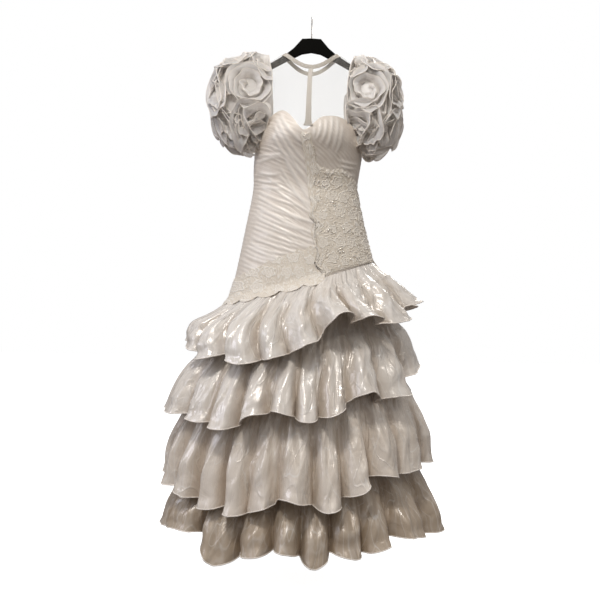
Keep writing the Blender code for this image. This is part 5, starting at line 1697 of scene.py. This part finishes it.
class DressColours(PropertyGroup):
    """Colours of the cloths, beads and hanger."""

    satin: FloatVectorProperty(name="Satin", description="Ivory satin of bodice and flounces",
                               subtype="COLOR", default=(0.80, 0.755, 0.70), min=0, max=1)
    organza: FloatVectorProperty(name="Organza", description="Organza of the puff sleeves",
                                 subtype="COLOR", default=(0.97, 0.94, 0.90), min=0, max=1)
    lace: FloatVectorProperty(name="Lace", description="Corded lace", subtype="COLOR",
                              default=(0.95, 0.905, 0.83), min=0, max=1)
    net: FloatVectorProperty(name="Net", description="Sheer yoke net", subtype="COLOR",
                             default=(0.88, 0.85, 0.80), min=0, max=1)
    bead: FloatVectorProperty(name="Beads", description="Pearl and glass beads", subtype="COLOR",
                              default=(0.92, 0.88, 0.82), min=0, max=1)
    plastic: FloatVectorProperty(name="Hanger", description="Black plastic of the hanger",
                                 subtype="COLOR", default=(0.0015, 0.0014, 0.0008), min=0, max=1)
    steel: FloatVectorProperty(name="Hook", description="Steel wire of the hook",
                               subtype="COLOR", default=(0.50, 0.47, 0.44), min=0, max=1)


class DRESS_OT_stage(Operator):
    """Adds the pale floor, the lights and the camera."""

    bl_idname = "dress.stage"
    bl_label = "Stage"

    def execute(self, context):
        make_stage()
        return {"FINISHED"}


class DRESS_OT_hanger(Operator):
    """Finishes the plastic hanger and its steel hook."""

    bl_idname = "dress.hanger"
    bl_label = "Hanger"

    def execute(self, context):
        make_hanger()
        return {"FINISHED"}


class DRESS_OT_yoke(Operator):
    """Builds the sheer net yoke."""

    bl_idname = "dress.yoke"
    bl_label = "Net yoke"

    def execute(self, context):
        make_yoke()
        return {"FINISHED"}


class DRESS_OT_bodice(Operator):
    """Builds the ruched front and the two back panels."""

    bl_idname = "dress.bodice"
    bl_label = "Satin bodice"

    def execute(self, context):
        make_bodice()
        return {"FINISHED"}


class DRESS_OT_lace(Operator):
    """Builds the corded lace over the front and round the waist."""

    bl_idname = "dress.lace"
    bl_label = "Lace"

    def execute(self, context):
        make_lace()
        return {"FINISHED"}


class DRESS_OT_neck(Operator):
    """Builds the beaded neck band, its strip and its button."""

    bl_idname = "dress.neck"
    bl_label = "Neck band"

    def execute(self, context):
        make_neck()
        return {"FINISHED"}


class DRESS_OT_skirt(Operator):
    """Builds the underskirt and the four flounces with their rolled hems."""

    bl_idname = "dress.skirt"
    bl_label = "Skirt"

    def execute(self, context):
        make_skirt()
        return {"FINISHED"}


class DRESS_OT_sleeves(Operator):
    """Builds the puff sleeves, their roses and ruffles."""

    bl_idname = "dress.sleeves"
    bl_label = "Sleeves"

    def execute(self, context):
        make_sleeves()
        return {"FINISHED"}


class DRESS_OT_beads(Operator):
    """Sews pearls and crystals on the lace."""

    bl_idname = "dress.beads"
    bl_label = "Beads"

    def execute(self, context):
        make_beads()
        return {"FINISHED"}


OPERATORS = (DRESS_OT_stage, DRESS_OT_hanger, DRESS_OT_yoke, DRESS_OT_bodice, DRESS_OT_lace,
             DRESS_OT_neck, DRESS_OT_skirt, DRESS_OT_sleeves, DRESS_OT_beads)


class DRESS_PT_panel(Panel):
    """Lists the dress's sizes, colours and pieces."""

    bl_label = "Wedding dress"
    bl_space_type = "VIEW_3D"
    bl_region_type = "UI"
    bl_category = "Dress"

    def draw(self, context):
        for group in (context.scene.dress_sizes, context.scene.dress_colours):
            for key in group.__annotations__:
                self.layout.prop(group, key)
        for made in OPERATORS:
            self.layout.operator(made.bl_idname)


CLASSES = (DressSizes, DressColours, *OPERATORS, DRESS_PT_panel)


def register():
    for made in CLASSES:
        bpy.utils.register_class(made)
    bpy.types.Scene.dress_sizes = PointerProperty(type=DressSizes)
    bpy.types.Scene.dress_colours = PointerProperty(type=DressColours)


def unregister():
    del bpy.types.Scene.dress_colours
    del bpy.types.Scene.dress_sizes
    for made in reversed(CLASSES):
        bpy.utils.unregister_class(made)


def main():
    register()
    bpy.ops.dress.stage()
    bpy.ops.dress.hanger()
    bpy.ops.dress.yoke()
    bpy.ops.dress.bodice()
    bpy.ops.dress.lace()
    bpy.ops.dress.neck()
    bpy.ops.dress.skirt()
    bpy.ops.dress.sleeves()
    bpy.ops.dress.beads()


if __name__ == "__main__":
    main()
